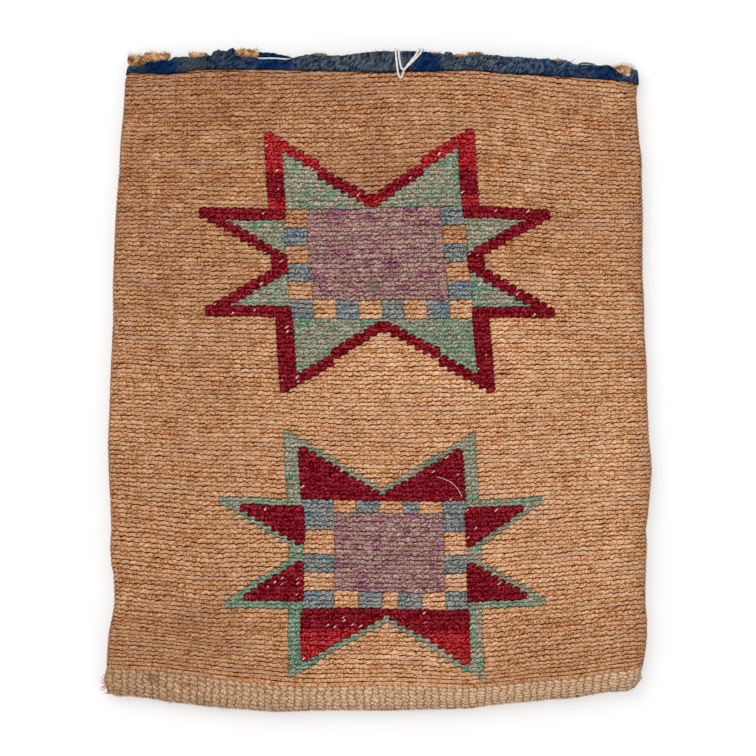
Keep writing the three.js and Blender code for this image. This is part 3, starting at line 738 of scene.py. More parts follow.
class Nodes:
    """Adds nodes to a tree, with numbers, colours or other nodes' outputs as their inputs."""

    def __init__(self, tree):
        self.tree = tree

    def put(self, value, socket):
        """Sets a number or colour on an input socket, or links an output to it."""
        if isinstance(value, Value):
            self.tree.links.new(value.socket, socket)
        else:
            socket.default_value = value

    def add(self, kind, inputs=None, **settings):
        node = self.tree.nodes.new("ShaderNode" + kind)
        for key, value in settings.items():
            setattr(node, key, value)
        for key, value in (inputs or {}).items():
            self.put(value, node.inputs[key])
        return node

    def one(self, output, kind, inputs=None, **settings):
        """One output of a new node."""
        return Value(self, self.add(kind, inputs, **settings).outputs[output])

    def outputs(self, node):
        """All outputs of a node, by name."""
        return {socket.name: Value(self, socket) for socket in node.outputs}

    def math(self, operation, *values):
        return self.one(0, "Math", dict(enumerate(values)), operation=operation)

    def vector(self, operation, first, second):
        return self.one("Vector", "VectorMath", {0: first, 1: second}, operation=operation)

    def far(self, vector):
        """Length of a vector."""
        return self.one("Value", "VectorMath", {0: vector}, operation="LENGTH")

    def span(self, value, low, high, start=0.0, end=1.0):
        """Value taken smoothly from a low and high limit to a start and end."""
        inputs = dict(enumerate((value, low, high, start, end)))
        return self.one(0, "MapRange", inputs, interpolation_type="SMOOTHSTEP")

    def mix(self, share, first, second, blend="MIX"):
        return self.one(2, "Mix", {0: share, 6: first, 7: second}, data_type="RGBA", blend_type=blend)

    def join(self, x, y, z=0.0):
        return self.one(0, "CombineXYZ", {0: x, 1: y, 2: z})

    def parts(self, vector):
        return list(self.outputs(self.add("SeparateXYZ", {0: vector})).values())

    def attribute(self, name, output="Vector"):
        return self.one(output, "Attribute", attribute_name=name)

    def place(self):
        """Place on the bag, in metres."""
        return self.one("Object", "TexCoord")

    def random(self, vector):
        """Random value and colour of a cell."""
        return list(self.outputs(self.add("TexWhiteNoise", {"Vector": vector}, noise_dimensions="3D")).values())

    def noise(self, vector, scale, detail=2.0, roughness=0.5):
        inputs = {"Vector": vector, "Scale": scale, "Detail": detail, "Roughness": roughness}
        return self.one(0, "TexNoise", inputs, noise_dimensions="3D")

    def use(self, group, **inputs):
        """Outputs of a node group."""
        return self.outputs(self.add("Group", spaced(inputs), node_tree=bpy.data.node_groups[group]))

    def soft_spot(self, centre, reach, amount):
        return self.use("Soft Spot", Centre=centre, Reach=reach)["Mask"] * amount

    def tinted(self, base, spots, tint, blend="MIX"):
        """Colour with a tint laid over it in soft spots."""
        for spot in spots:
            base = self.mix(self.soft_spot(*spot), base, tint, blend)
        return base

    def bump(self, height, distance, strength):
        return self.one(0, "Bump", {"Strength": strength, "Distance": distance, "Height": height})

    def shade(self, **inputs):
        """Sets inputs of the material's shader."""
        for key, value in spaced(inputs).items():
            self.put(value, self.tree.nodes["Principled BSDF"].inputs[key])


def new_group(name, inputs, outputs):
    """Empty node group with named sockets: its nodes, its inputs and a function that sets its outputs."""
    tree = bpy.data.node_groups.new(name, "ShaderNodeTree")
    for label, default in inputs.items():
        kind = "NodeSocketVector" if isinstance(default, tuple) else "NodeSocketFloat"
        tree.interface.new_socket(label, in_out="INPUT", socket_type=kind).default_value = default
    for label in outputs:
        tree.interface.new_socket(label, in_out="OUTPUT", socket_type="NodeSocketFloat")
    start, end = tree.nodes.new("NodeGroupInput"), tree.nodes.new("NodeGroupOutput")
    nodes = Nodes(tree)

    def give(*values):
        for label, value in zip(outputs, values):
            nodes.put(value, end.inputs[label])

    return nodes, nodes.outputs(start), give


def make_twined_rows():
    """Stitches and rows of twined work: grooves, seams and corners, whose masks set the bump and take painted shade,
    random values for stitches and strips, and fibres.
    """
    nodes, given, give = new_group(
        "Twined Rows",
        {"Groove Width": 0.22, "Seam Width": 0.14, "Strip Length": 9.0, "Fibre Run": 0.9, "Slant": 0.0},
        ("Groove", "Seam", "Corner_Shade", "Stitch", "Strip", "Level", "Height"),
    )
    stitch, level_row, _ = nodes.parts(nodes.attribute("weave"))
    stitch_number, across = nodes.math("FLOOR", stitch), nodes.math("FRACT", stitch)
    row = level_row + (across - 0.5) * given["Slant"]
    row_number, up = nodes.math("FLOOR", row), nodes.math("FRACT", row)
    chance = nodes.random(nodes.join(stitch_number, row_number, 3.5))[0]

    line = nodes.math("FLOOR", row + 0.5)
    wander = nodes.noise(nodes.join(stitch * 0.8, line * 3.7), 1.0)
    width = given["Groove Width"] * nodes.span(wander, 0.2, 0.8, 0.55, 1.4)
    away, nearest = nodes.math("MINIMUM", up, 1.0 - up), nodes.math("MINIMUM", across, 1.0 - across)
    patch = nodes.noise(nodes.join(stitch * 0.55, line * 1.7), 1.3)
    deep = nodes.span(patch, 0.34, 0.62, 0.7, 1.0) * nodes.span(nearest, 0.05, 0.45, 1.0, 0.9)
    base_join = nodes.math("COMPARE", line, 0.0, 0.5)
    # Mask of the grooves between the rows, uneven in width and strength: it sets their bump, and the husk and yarn
    # paint shade along it.
    groove = nodes.span(away, width * 0.35, width, 1.0, 0.0) * deep * (1.0 - base_join)
    seam = nodes.span(nearest, 0.0, given["Seam Width"], 1.0, 0.0)

    # Mask of the corners and gaps between the stitches, where the hemp paints shade for the hollows there.
    above = (up + (wander - 0.5) * 0.3 - 0.5) * 1.1
    corner = nodes.span(nodes.far(nodes.join((across - 0.5) * 0.85, above)), 0.36, 0.66)

    shift = nodes.random(nodes.join(row_number, 7.1))[0] * 41.0
    strip_number = nodes.math("FLOOR", (stitch + shift) / given["Strip Length"])
    strip = nodes.random(nodes.join(strip_number, row_number, 0.7))[0]

    x, y = stitch * FINISH_STITCH, row * FINISH_ROW
    run, over = x * SLOPE_ACROSS + y * SLOPE_UP, y * SLOPE_ACROSS - x * SLOPE_UP
    fibre = nodes.noise(nodes.join(run * given["Fibre Run"], over * 1.8, strip * 9.0), 1.0, 2.0, 0.55)
    grain = nodes.noise(nodes.join(x, y, 5.0), 1.9, 1.0)
    level = nodes.span(fibre, 0.36, 0.64) * 0.15 + nodes.span(grain, 0.38, 0.62) * 0.7 + chance * 0.15
    give(groove, seam, corner, chance, strip, level, level - groove * 0.8 - seam * 0.35)


def make_pale_flecks():
    """Small flecks on some stitches, where the hemp under the face shows."""
    nodes, given, give = new_group("Pale Flecks", {"Share": 0.05, "Seed": 1.0}, ("Mask",))
    stitch, row, _ = nodes.parts(nodes.attribute("weave"))
    chance, odds = nodes.random(nodes.join(nodes.math("FLOOR", stitch), nodes.math("FLOOR", row), given["Seed"]))
    aside, above, size = nodes.parts(odds)
    x = nodes.math("FRACT", stitch) - nodes.span(aside, 0.0, 1.0, 0.25, 0.75)
    y = nodes.math("FRACT", row) - nodes.span(above, 0.0, 1.0, 0.3, 0.7)
    away = nodes.far(nodes.join(x * 2.7 + y * 1.4, y * 3.6 - x * 5.4))
    fleck = nodes.span(away, 0.4, nodes.span(size, 0.0, 1.0, 0.55, 1.1), 1.0, 0.0)
    give(fleck * nodes.math("LESS_THAN", chance, given["Share"]))


def make_soft_spot():
    """A patch with soft, uneven edges at a place on the bag."""
    sockets = {"Centre": (0.0, 0.0, 0.0), "Reach": (0.02, 0.02, 0.02)}
    nodes, given, give = new_group("Soft Spot", sockets, ("Mask",))
    spot = nodes.place()
    away = nodes.vector("DIVIDE", nodes.vector("SUBTRACT", spot, given["Centre"]), given["Reach"])
    rough = (nodes.noise(spot, 140.0, 3.0) - 0.5) * 0.9
    give(nodes.span(nodes.far(away) + rough, 0.2, 1.0, 1.0, 0.0))


def make_soiling():
    """Uneven soiling of a well-used bag, in broad clouds and in short smears along the rows."""
    nodes, given, give = new_group("Soiling", {"Cloud Size": 22.0, "Amount": 0.5}, ("Mask",))
    spot = nodes.place()
    cloud = nodes.span(nodes.noise(spot, given["Cloud Size"], 3.0, 0.55), 0.42, 0.72)
    smear = nodes.span(nodes.noise(nodes.vector("MULTIPLY", spot, (60.0, 260.0, 60.0)), 1.0), 0.5, 0.8)
    give(nodes.math("MAXIMUM", cloud, smear) * given["Amount"])


def new_material(name):
    """Nodes of a new material with a Principled shader."""
    material = bpy.data.materials.new(name)
    material.use_nodes = True
    return Nodes(material.node_tree)


def solid(value, step=0):
    """Colour for a socket, made paler or darker by an equal step in each screen value."""
    screen = [12.92 * part if part < 0.0031308 else 1.055 * part ** (1 / 2.4) - 0.055 for part in value]
    return (*srgb(*(min(max(255 * part + step, 0), 255) for part in screen)), 1.0)


def husk_material(tints):
    """Cornhusk: brown to golden strips, some grey, painted shade in the grooves between the rows and along the right
    fold, and soil.
    """
    nodes = new_material("cornhusk_face")
    rows = nodes.use("Twined Rows", Groove_Width=0.185, Strip_Length=8.0, Fibre_Run=0.6)
    mixed = rows["Strip"] * 0.13 + rows["Level"]
    base = nodes.mix(nodes.span(mixed, 0.1, 0.6), solid(tints.husk_brown), solid(tints.husk))
    base = nodes.mix(nodes.span(mixed, 0.55, 1.05), base, solid(tints.husk_gold))
    base = nodes.mix(nodes.math("GREATER_THAN", rows["Strip"], 0.9) * 0.25, base, solid(tints.husk_grey))
    fleck = nodes.use("Pale Flecks", Share=0.016, Seed=4.0)["Mask"]
    base = nodes.mix(fleck * 0.7, base, solid(tints.pale))
    base = nodes.mix(nodes.use("Soiling", Cloud_Size=16.0, Amount=0.3)["Mask"], base, HUSK_CLOUD, "MULTIPLY")
    # Soil in spots, and painted shade along the right fold.
    base = nodes.tinted(base, HUSK_SOIL_AND_FOLD_SHADE, HUSK_SPOT, "MULTIPLY")
    base = nodes.tinted(base, HUSK_GREY, solid(tints.husk_grey))
    base = nodes.tinted(base, RUN_DYE, solid(tints.red_bright, 60))
    base = nodes.tinted(base, SLIT, solid(tints.red, -44))
    # Painted shade in the grooves between the rows and, faintly, in the seams between the stitches; the middle of the
    # strongest grooves gets a darker painted shade.
    base = nodes.mix(nodes.math("MAXIMUM", rows["Seam"] * 0.08, rows["Groove"]), base, solid(tints.groove))
    base = nodes.mix(nodes.span(rows["Groove"], 0.65, 0.95), base, solid(tints.groove, -38))
    gloss = nodes.span(rows["Level"], 0.2, 0.8, 0.9, 0.62)
    bump = nodes.bump(rows["Height"], 0.0004, 0.6)
    nodes.shade(Base_Color=base, Roughness=gloss, Specular_IOR_Level=0.02, Normal=bump)


def hemp_material(name, light, dark, pale):
    """Plain hemp, with pale flecks, painted shade in the corners and gaps between the stitches, and soil."""
    nodes = new_material(name)
    rows = nodes.use("Twined Rows", Groove_Width=0.3, Seam_Width=0.2, Strip_Length=5.0, Fibre_Run=0.9, Slant=0.5)
    base = nodes.mix(nodes.span(rows["Level"], 0.0, 0.8), solid(dark), solid(light))
    base = nodes.mix(nodes.use("Pale Flecks", Share=0.1, Seed=2.0)["Mask"] * 0.5, base, solid(pale))
    base = nodes.mix(nodes.use("Soiling", Cloud_Size=26.0, Amount=0.18)["Mask"], base, HEMP_CLOUD, "MULTIPLY")
    base = nodes.tinted(base, HEMP_SOIL, HEMP_SPOT, "MULTIPLY")
    # Painted shade in the corners and gaps between the stitches.
    base = nodes.mix(rows["Corner_Shade"], base, solid(dark, -76))
    bump = nodes.bump(rows["Height"], 0.0005, 0.7)
    nodes.shade(Base_Color=base, Roughness=0.9, Specular_IOR_Level=0.04, Normal=bump)


def yarn_material(name, main, bright, accent, accent_share, flecks, depth, tints):
    """Dyed yarn: its main and bright dye, an accent on a share of stitches, flecks, and painted shade in the grooves,
    darker than the main dye by a depth.
    """
    nodes = new_material(name)
    rows = nodes.use("Twined Rows", Groove_Width=0.19, Strip_Length=4.0, Fibre_Run=0.9)
    tone = nodes.attribute("tone", "Fac")
    odd = rows["Stitch"] * 0.32 + nodes.noise(nodes.attribute("weave"), 0.3) * 0.94
    odd = nodes.span(odd, 0.85 - accent_share, 0.95 - accent_share)
    shades = []
    for step in YARN_STEPS:
        base = nodes.mix(tone, solid(main, step), solid(bright, step))
        shades.append(nodes.mix(odd, base, solid(accent, step)))
    base = nodes.mix(nodes.span(rows["Level"], 0.12, 0.5), shades[0], shades[1])
    base = nodes.mix(nodes.span(rows["Level"], 0.5, 0.88), base, shades[2])
    fleck = nodes.use("Pale Flecks", Share=flecks, Seed=6.0)["Mask"]
    base = nodes.mix(fleck * 0.85, base, solid(tints.fleck))
    base = nodes.tinted(base, YARN_STAIN, solid(tints.drab))
    # Painted shade in the grooves between the rows and, faintly, in the seams between the stitches, but not on flecks.
    line = nodes.math("MAXIMUM", rows["Groove"], rows["Seam"] * 0.2) * nodes.span(fleck, 0.2, 0.8, 1.0, 0.0)
    base = nodes.mix(line, base, solid(main, depth))
    bump = nodes.bump(rows["Height"], 0.0005, 0.5)
    nodes.shade(Base_Color=base, Roughness=0.95, Specular_IOR_Level=0.02, Normal=bump)


def cloth_material(tints):
    """Blue wool cloth of the binding, a twill with worn nap and painted shade along its lower edge."""
    nodes = new_material("binding_cloth")
    spot = nodes.attribute("weave")
    across, up, _ = nodes.parts(spot)
    nap = nodes.noise(spot, 1.3, 1.0)
    slant = across - up * 0.9 + nap * 0.5
    ridge = nodes.math("FLOOR", slant)
    run = nodes.math("FLOOR", across * 0.35 + up * 0.55 + ridge * 0.37)
    thread = nodes.random(nodes.join(ridge, run, 2.3))[0]
    twill = nodes.math("SINE", slant * (2 * math.pi))
    speck = nodes.span(thread * 0.5 + twill * 0.25 + nap * 0.5, 0.3, 0.95)
    wear = nodes.span(nodes.noise(nodes.place(), 45.0, 3.0, 0.6), 0.34, 0.64, 0.5, 1.0)
    kept = 0.0
    for near in NAP_KEPT:
        kept = nodes.math("MAXIMUM", kept, nodes.soft_spot(*near))
    thin = nodes.span(nodes.noise(spot, 0.6, 1.0), 0.45, 0.7, 0.0, 0.7)
    thin = nodes.math("MAXIMUM", nodes.soft_spot(*NAP_THIN[0]), thin)
    pale = nodes.mix(thin, solid(tints.slate), solid(tints.denim))
    pale = nodes.mix(kept, pale, solid(tints.royal))
    base = nodes.mix(speck * wear, solid(tints.navy), pale)
    gone = nodes.soft_spot(*NAP_GONE[0]) * nodes.span(nap, 0.3, 0.7)
    base = nodes.mix(gone, base, solid(tints.drab))
    base = nodes.tinted(base, CLOTH_DARK, CLOTH_SPOT, "MULTIPLY")
    # Painted shade along the cloth's lower edge, strongest at the edge and gone about a millimetre up.
    base = nodes.mix(nodes.span(up, 0.2, 1.2, 0.95, 0.0), base, CLOTH_HEM_SHADE, "MULTIPLY")
    nodes.shade(Base_Color=base, Roughness=0.95, Specular_IOR_Level=0.03, Normal=nodes.bump(speck, 0.0005, 0.8))


def fibre_material(name, light, dark, grain):
    """Loose fibres and thread, paler and darker along their length."""
    nodes = new_material(name)
    spot = nodes.place()
    patch = nodes.noise(spot, grain, 4.0, 0.65)
    base = nodes.mix(nodes.span(patch, 0.32, 0.68), solid(dark), solid(light))
    bump = nodes.bump(nodes.noise(spot, grain * 5, 3.0), 0.0002, 0.6)
    nodes.shade(Base_Color=base, Roughness=0.9, Specular_IOR_Level=0.2, Normal=bump)


def make_materials(tints):
    """Makes the node groups, then every material of the bag."""
    make_twined_rows()
    make_pale_flecks()
    make_soft_spot()
    make_soiling()
    husk_material(tints)
    hemp_material("hemp_face", tints.hemp, tints.hemp_dark, tints.pale)
    hemp_material("hemp_inside", tints.hemp_dark, tints.husk_brown, tints.hemp)
    yarn_material("red_wool", tints.red, tints.red_bright, tints.red, 0.0, 0.065, -62, tints)
    yarn_material("green_wool", tints.green, tints.green_fresh, tints.teal, 0.16, 0.03, -80, tints)
    yarn_material("blue_wool", tints.blue, tints.blue, tints.sky, 0.2, 0.03, -95, tints)
    yarn_material("lavender_wool", tints.lavender, tints.lavender, tints.purple, 0.14, 0.02, -110, tints)
    cloth_material(tints)
    fibre_material("rim_fibre", tints.cord, tints.cord_dark, 420.0)
    fibre_material("base_cord", tints.husk_gold, tints.husk_brown, 300.0)
    fibre_material("spliced_husk", tints.husk_grey, tints.hemp_dark, 300.0)
    fibre_material("pale_fibre", tints.string, tints.pale, 400.0)
    fibre_material("blue_fibre", tints.slate, tints.navy, 500.0)
    fibre_material("white_string", tints.string, tuple(0.8 * part for part in tints.string), 900.0)


# Pieces


def finish_piece(piece, slot, *nodes):
    """Lets a piece ride on the bag and stand for CAD nodes, whose parts it hides; its slot is not used."""
    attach(piece, "root")
    if nodes:
        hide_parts(*nodes)


def star_parts(sizes):
    """Each part of each star: the star, the part's name, its dye and its cells."""
    for star in STARS:
        dyes = {"border": star["border"], "field": star["field"], "center": "lavender", "checks": "blue"}
        for part, cells in star_cells(sizes, star).items():
            yield star, part, dyes[part], cells


def star_tone(weave, star, dye):
    """Share of the brighter dye at each point: fresh green round one place, bright red in runs of rows."""
    side, up = weave.stitch - star["across"], weave.row - star["row"]
    if dye == "green":
        x, y, wide, tall, share = star["fresh"]
        return share * np.exp(-(((side - x) / wide) ** 2) - ((up - y) / tall) ** 2)
    return np.max([(up > low) & (up < high) for low, high in star["bright"]], 0).astype(float)


def husk_weave(sizes, up):
    """Weave of the husk wall, crowded by its yarn and drawn in under the binding at the rim."""
    weave = Weave(
        sizes, sizes.rows, sizes.base_top, sizes.row_pitch, up, 11, sizes.groove, slant=0.1, lift=0.25, drifts=True
    )
    crowd = np.full((sizes.rows, sizes.stitches), CROWDING["husk"])
    for _, _, dye, cells in star_parts(sizes):
        crowd[cells] = CROWDING[dye]

    def crowd_at(stitch, row):
        """Crowding at a place between the middles of cells."""
        i, j = stitch + sizes.stitches / 2 - 0.5, np.clip(row - 0.5, 0, sizes.rows - 1.001)
        a, b = np.floor(i).astype(int), np.floor(j).astype(int)
        left, right = a % sizes.stitches, (a + 1) % sizes.stitches
        lower, upper = (crowd[k, left] * (1 - i + a) + crowd[k, right] * (i - a) for k in (b, b + 1))
        return lower * (1 - j + b) + upper * (j - b)

    weave.ring -= (crowd_at(weave.stitch + 0.5, weave.row) - crowd_at(weave.stitch - 0.5, weave.row)) * MM
    weave.height -= (crowd_at(weave.stitch, weave.row + 0.5) - crowd_at(weave.stitch, weave.row - 0.5)) * MM
    low, top = binding_edges(sizes, weave.inside(0.0))
    full = sizes.base_top + sizes.rows * sizes.row_pitch
    start = sizes.binding_low - CLOSE_ROWS
    rest = np.clip((weave.height - start) / (full - start), 0, 1)
    weave.height += rest * (np.minimum(top, sizes.long) - FOLD_ROOM - full)
    weave.depth += (sizes.binding + CLOTH_ROOM) * smooth((weave.height - low + STEP_LEAD) / STEP_RUN)
    return weave


def fibres(name, paths, radius, corners, material):
    """Tapering fibres along paths, in millimetres."""
    return strands(name, paths * MM, radius * MM * np.linspace(1, 0.4, paths.shape[1]), corners, material)


def routed(route, face, steps):
    """Smooth path through points given on the plan and above the bag's face, in millimetres."""
    share = np.linspace(0, 1, steps)
    path = np.stack([along(part, share) for part in zip(*route)], 1) + PLAN_MIDDLE
    return (path + (0, 0, face))[None] * MM


class BAG_OT_husk_wall(bpy.types.Operator):
    """Woven wall of cornhusk, front and back"""

    bl_idname = "bag.husk_wall"
    bl_label = "Husk Wall"

    def execute(self, context):
        sizes = context.scene.bag_sizes
        front = husk_weave(sizes, FRONT_SPANS_UP)
        shown = front_cells(front)
        yarn = np.any([cells for *_, cells in star_parts(sizes)], 0)
        face, inside = front.face(), front.inside(sizes.wall)
        upper = np.arange(sizes.rows)[:, None] >= sizes.rows // 2
        for name, half in (("husk_front_upper", upper), ("husk_front_lower", ~upper)):
            piece = front.piece(name, shown & ~yarn & half, "cornhusk_face", face, inside)
            finish_piece(piece, "husk", "husk_body")

        t = np.linspace(-1, 1, 11)[:, None]
        x, y, z, half, thick = np.array(SPLICES).T
        paths = np.stack((x + half * t, y - 0.1 * t, z + 0 * t), -1).swapaxes(0, 1)
        bulge = (thick * np.sqrt(1.04 - t**2)).T
        finish_piece(strands("spliced_stitches", paths * MM, bulge * MM, 12, "spliced_husk"), "husk")

        back = husk_weave(sizes, BACK_SPANS_UP)
        piece = back.piece("husk_back", ~shown, "cornhusk_face", back.face(), back.inside(sizes.wall))
        finish_piece(piece, "husk", "husk_body")
        return {"FINISHED"}


class BAG_OT_stars(bpy.types.Operator):
    """Stars of dyed yarn on the front"""

    bl_idname = "bag.stars"
    bl_label = "Stars"

    def execute(self, context):
        sizes = context.scene.bag_sizes
        weave = husk_weave(sizes, FRONT_SPANS_UP)
        face, inside = weave.face(sizes.yarn_rise), weave.inside(sizes.wall)
        for star, part, dye, cells in star_parts(sizes):
            stem = f"{star['name']}_{part}"
            tone = star_tone(weave, star, dye)
            piece = weave.piece(stem + "_yarn", cells, dye + "_wool", face, inside, tone)
            nodes = [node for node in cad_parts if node.startswith(stem.removesuffix("s"))]
            finish_piece(piece, dye + "_yarn", *nodes)
        return {"FINISHED"}


class BAG_OT_hemp_base(bpy.types.Operator):
    """Plain hemp base, closed along the bottom, with its edge cord and frayed fibres"""

    bl_idname = "bag.hemp_base"
    bl_label = "Hemp Base"

    def execute(self, context):
        sizes = context.scene.bag_sizes
        pitch = sizes.base_top / sizes.base_rows
        weave = Weave(sizes, sizes.base_rows, 0.0, pitch, BASE_SPANS_UP, 31, 0.7 * sizes.groove, slant=0.05, lift=-0.5)
        a = (np.arange(weave.row.shape[1]) % SPANS_ACROSS) / SPANS_ACROSS
        weave.depth += BASE_FURROW * ((1 + np.cos(2 * math.pi * a)) / 2)[None] * (1 - 0.5 * weave.valley)
        weave.depth *= smooth(weave.row / 0.8)
        weave.ring += BASE_WANDER * noise(41, weave.stitch + sizes.stitches / 2, weave.row, sizes.stitches)
        inside = place(sizes, weave.ring, np.maximum(weave.height, sizes.wall), np.full(weave.ring.shape, sizes.wall))
        face = weave.face()
        lump = np.exp(-(((weave.height - LUMP_UP) / LUMP_REACH) ** 2))
        face[..., 0] -= LUMP_THICK * lump * smooth((LUMP_AT - face[..., 0]) / LUMP_RUN)
        weave.row -= sizes.base_rows
        cells = np.ones((sizes.base_rows, sizes.stitches), bool)
        finish_piece(weave.piece("hemp_base_weave", cells, "hemp_face", face, inside), "hemp", "hemp_base")

        left, right = sides(sizes, np.array(0.0))
        u = np.linspace(*CORD_SPAN, CORD_POINTS)
        x, y = left + (right - left) * u, ends(sizes, u)[0] + CORD_UP
        path = np.stack((x, y - read(BASE_SWELL, x / MM) * MM, np.full(len(u), sizes.thickness / 2)), 1)
        path += np.array(PLAN_MIDDLE) * MM
        piece = strands("base_edge_cord", path[None], CORD_RADIUS, 10, "base_cord", ply=0.3, turns=CORD_TURNS)
        finish_piece(piece, "hemp")

        rng, many = np.random.default_rng(37), BASE_FIBRES
        x = rng.uniform(-120, 120, many)
        y = along(BASE_DRAW_IN, 0.5 + x / BASE_WIDE) - BASE_DOWN - read(BASE_SWELL, x)
        roots = np.stack((x, y, rng.uniform(4.5, 8, many)), 1)
        aims = np.stack((rng.normal(0, 0.8, many), -np.ones(many), rng.normal(0, 0.4, many)), 1)
        frayed = 0
        for count, root, spread, aim in BASE_FRAY:
            part = slice(frayed, frayed + count)
            roots[part] = root + rng.normal(0, 1, (count, 3)) * (0.5, spread, 1.2)
            aims[part] = aim + rng.normal(0, 0.35, (count, 3))
            frayed += count
        long = np.r_[rng.uniform(0.8, 2.2, frayed), rng.uniform(0.4, 1.2, many - frayed)]
        loose = curled(rng, roots, aims, long, 0.35) + PLAN_MIDDLE
        finish_piece(fibres("base_fibres", loose, 0.14, 4, "base_cord"), "hemp")
        return {"FINISHED"}


class BAG_OT_rim_binding(bpy.types.Operator):
    """Blue wool cloth folded over the rim, worn through along the front"""

    bl_idname = "bag.rim_binding"
    bl_label = "Rim Binding"

    def execute(self, context):
        sizes = context.scene.bag_sizes
        columns, down, over, turned = 560, 8, 6, 6
        half = sizes.binding / 2
        radius = (sizes.binding + sizes.rim_wall) / 2 + CLOTH_ROOM
        share = np.linspace(-0.5, 0.5, columns + 1)
        around = share * ring_length(sizes, np.array(sizes.long))
        low, top = binding_edges(sizes, place(sizes, around, np.full(columns + 1, sizes.long), np.zeros(columns + 1)))

        def ragged(seed, step):
            """Noise round the rim, over a number of columns."""
            return noise(seed, (share + 0.5) * columns / step, 0, columns // step)

        top = top + MM * (0.25 * ragged(51, 4) + 0.25 * ragged(52, 1))
        low = low + MM * (0.2 * ragged(53, 8) + 0.2 * ragged(54, 2))
        shoulder = top - radius - half
        turn = sizes.binding_turn - radius - half
        profile = [(half, low + (shoulder - low) * step / down, (-1.0, 0.0)) for step in range(down + 1)]
        for step in range(1, over + 1):
            angle = math.pi * step / over
            bend = (half + radius - radius * math.cos(angle), shoulder + radius * math.sin(angle))
            profile.append((*bend, (-math.cos(angle), math.sin(angle))))
        for step in range(1, turned + 1):
            profile.append((half + 2 * radius, shoulder - turn * step / turned, (1.0, 0.0)))
        depth, height, lean = (np.array(part) for part in zip(*profile))
        count = len(profile)
        lump = CLOTH_LUMP * ragged(55, 4)[None] * np.interp(range(count), (0, down), (1, 0.4))[:, None]
        depths = depth[:, None] + lump

        def layer_at(offset):
            """Points of one face of the cloth."""
            tall = height + offset * lean[:, 1:]
            return place(sizes, share[None] * ring_length(sizes, tall), tall, depths + offset * lean[:, :1])

        cells = np.ones((count - 1, columns), bool)
        run = np.concatenate(([0], np.cumsum(np.hypot(np.diff(depth), np.diff(height.mean(1))))))
        spots = np.stack(np.broadcast_arrays(around[None] / MM, run[:, None] / MM, 0.0), -1)
        looks = ["binding_cloth", "binding_cloth"]
        piece = shell("rim_binding_cloth", layer_at(half), layer_at(-half), cells, 1, 1, looks, spots)
        finish_piece(piece, "wool_cloth", "rim_binding")
        size = (float(run[-1]), float(ring_length(sizes, np.array(sizes.long))))
        return {"FINISHED"}


def rim_cords(rng, inner):
    """Plies of the rim's cords and their thickness, and roots, aims and lengths of the fibres out of them."""
    paths, thick, roots, aims, long = [], [], [], [], []
    t = np.linspace(0, 1, 44)
    swell = (1 - np.abs(2 * t - 1) ** 4) ** 0.5 * 0.75 + 0.25
    for left, right, low, high in CORDS:
        r, middle = (high - low) / 2, (low + high) / 2
        turns = (right - left) / (4.6 * r**0.7)
        deep = min(0.8 * r, 2.3)
        wave = 0.16 * r * np.sin(7 * t + rng.uniform(0, 6))
        for ply in range(CORD_PLIES):
            angle = 2 * math.pi * (turns * t + ply / CORD_PLIES)
            lumpy = 1 + 0.18 * np.sin(rng.uniform(18, 30) * t + rng.uniform(0, 6))
            y = middle + wave + 0.52 * r * swell * np.cos(angle)
            z = inner - deep + 0.52 * deep * swell * np.sin(angle)
            paths.append(np.stack((left + (right - left) * t, y, z), 1))
            thick.append(0.5 * min(r, 1.9) * swell * lumpy)
        many = int(11 * (right - left) * (0.5 + r / 3))
        x, turn = rng.uniform(left, right, many), rng.uniform(-0.7, 3.0, many)
        round_at = np.stack((np.zeros(many), np.cos(turn), np.sin(turn)), 1)
        heart = np.stack((x, np.full(many, middle), np.full(many, inner - deep)), 1)
        roots.append(heart + 0.8 * round_at * (0, r, deep))
        aims.append(round_at + rng.normal(0, 0.7, (many, 3)))
        long.append(rng.uniform(0.5, 1.5, many) * (0.5 + r / 3.5))
    return np.array(paths), np.array(thick), [np.concatenate(part) for part in (roots, aims, long)]


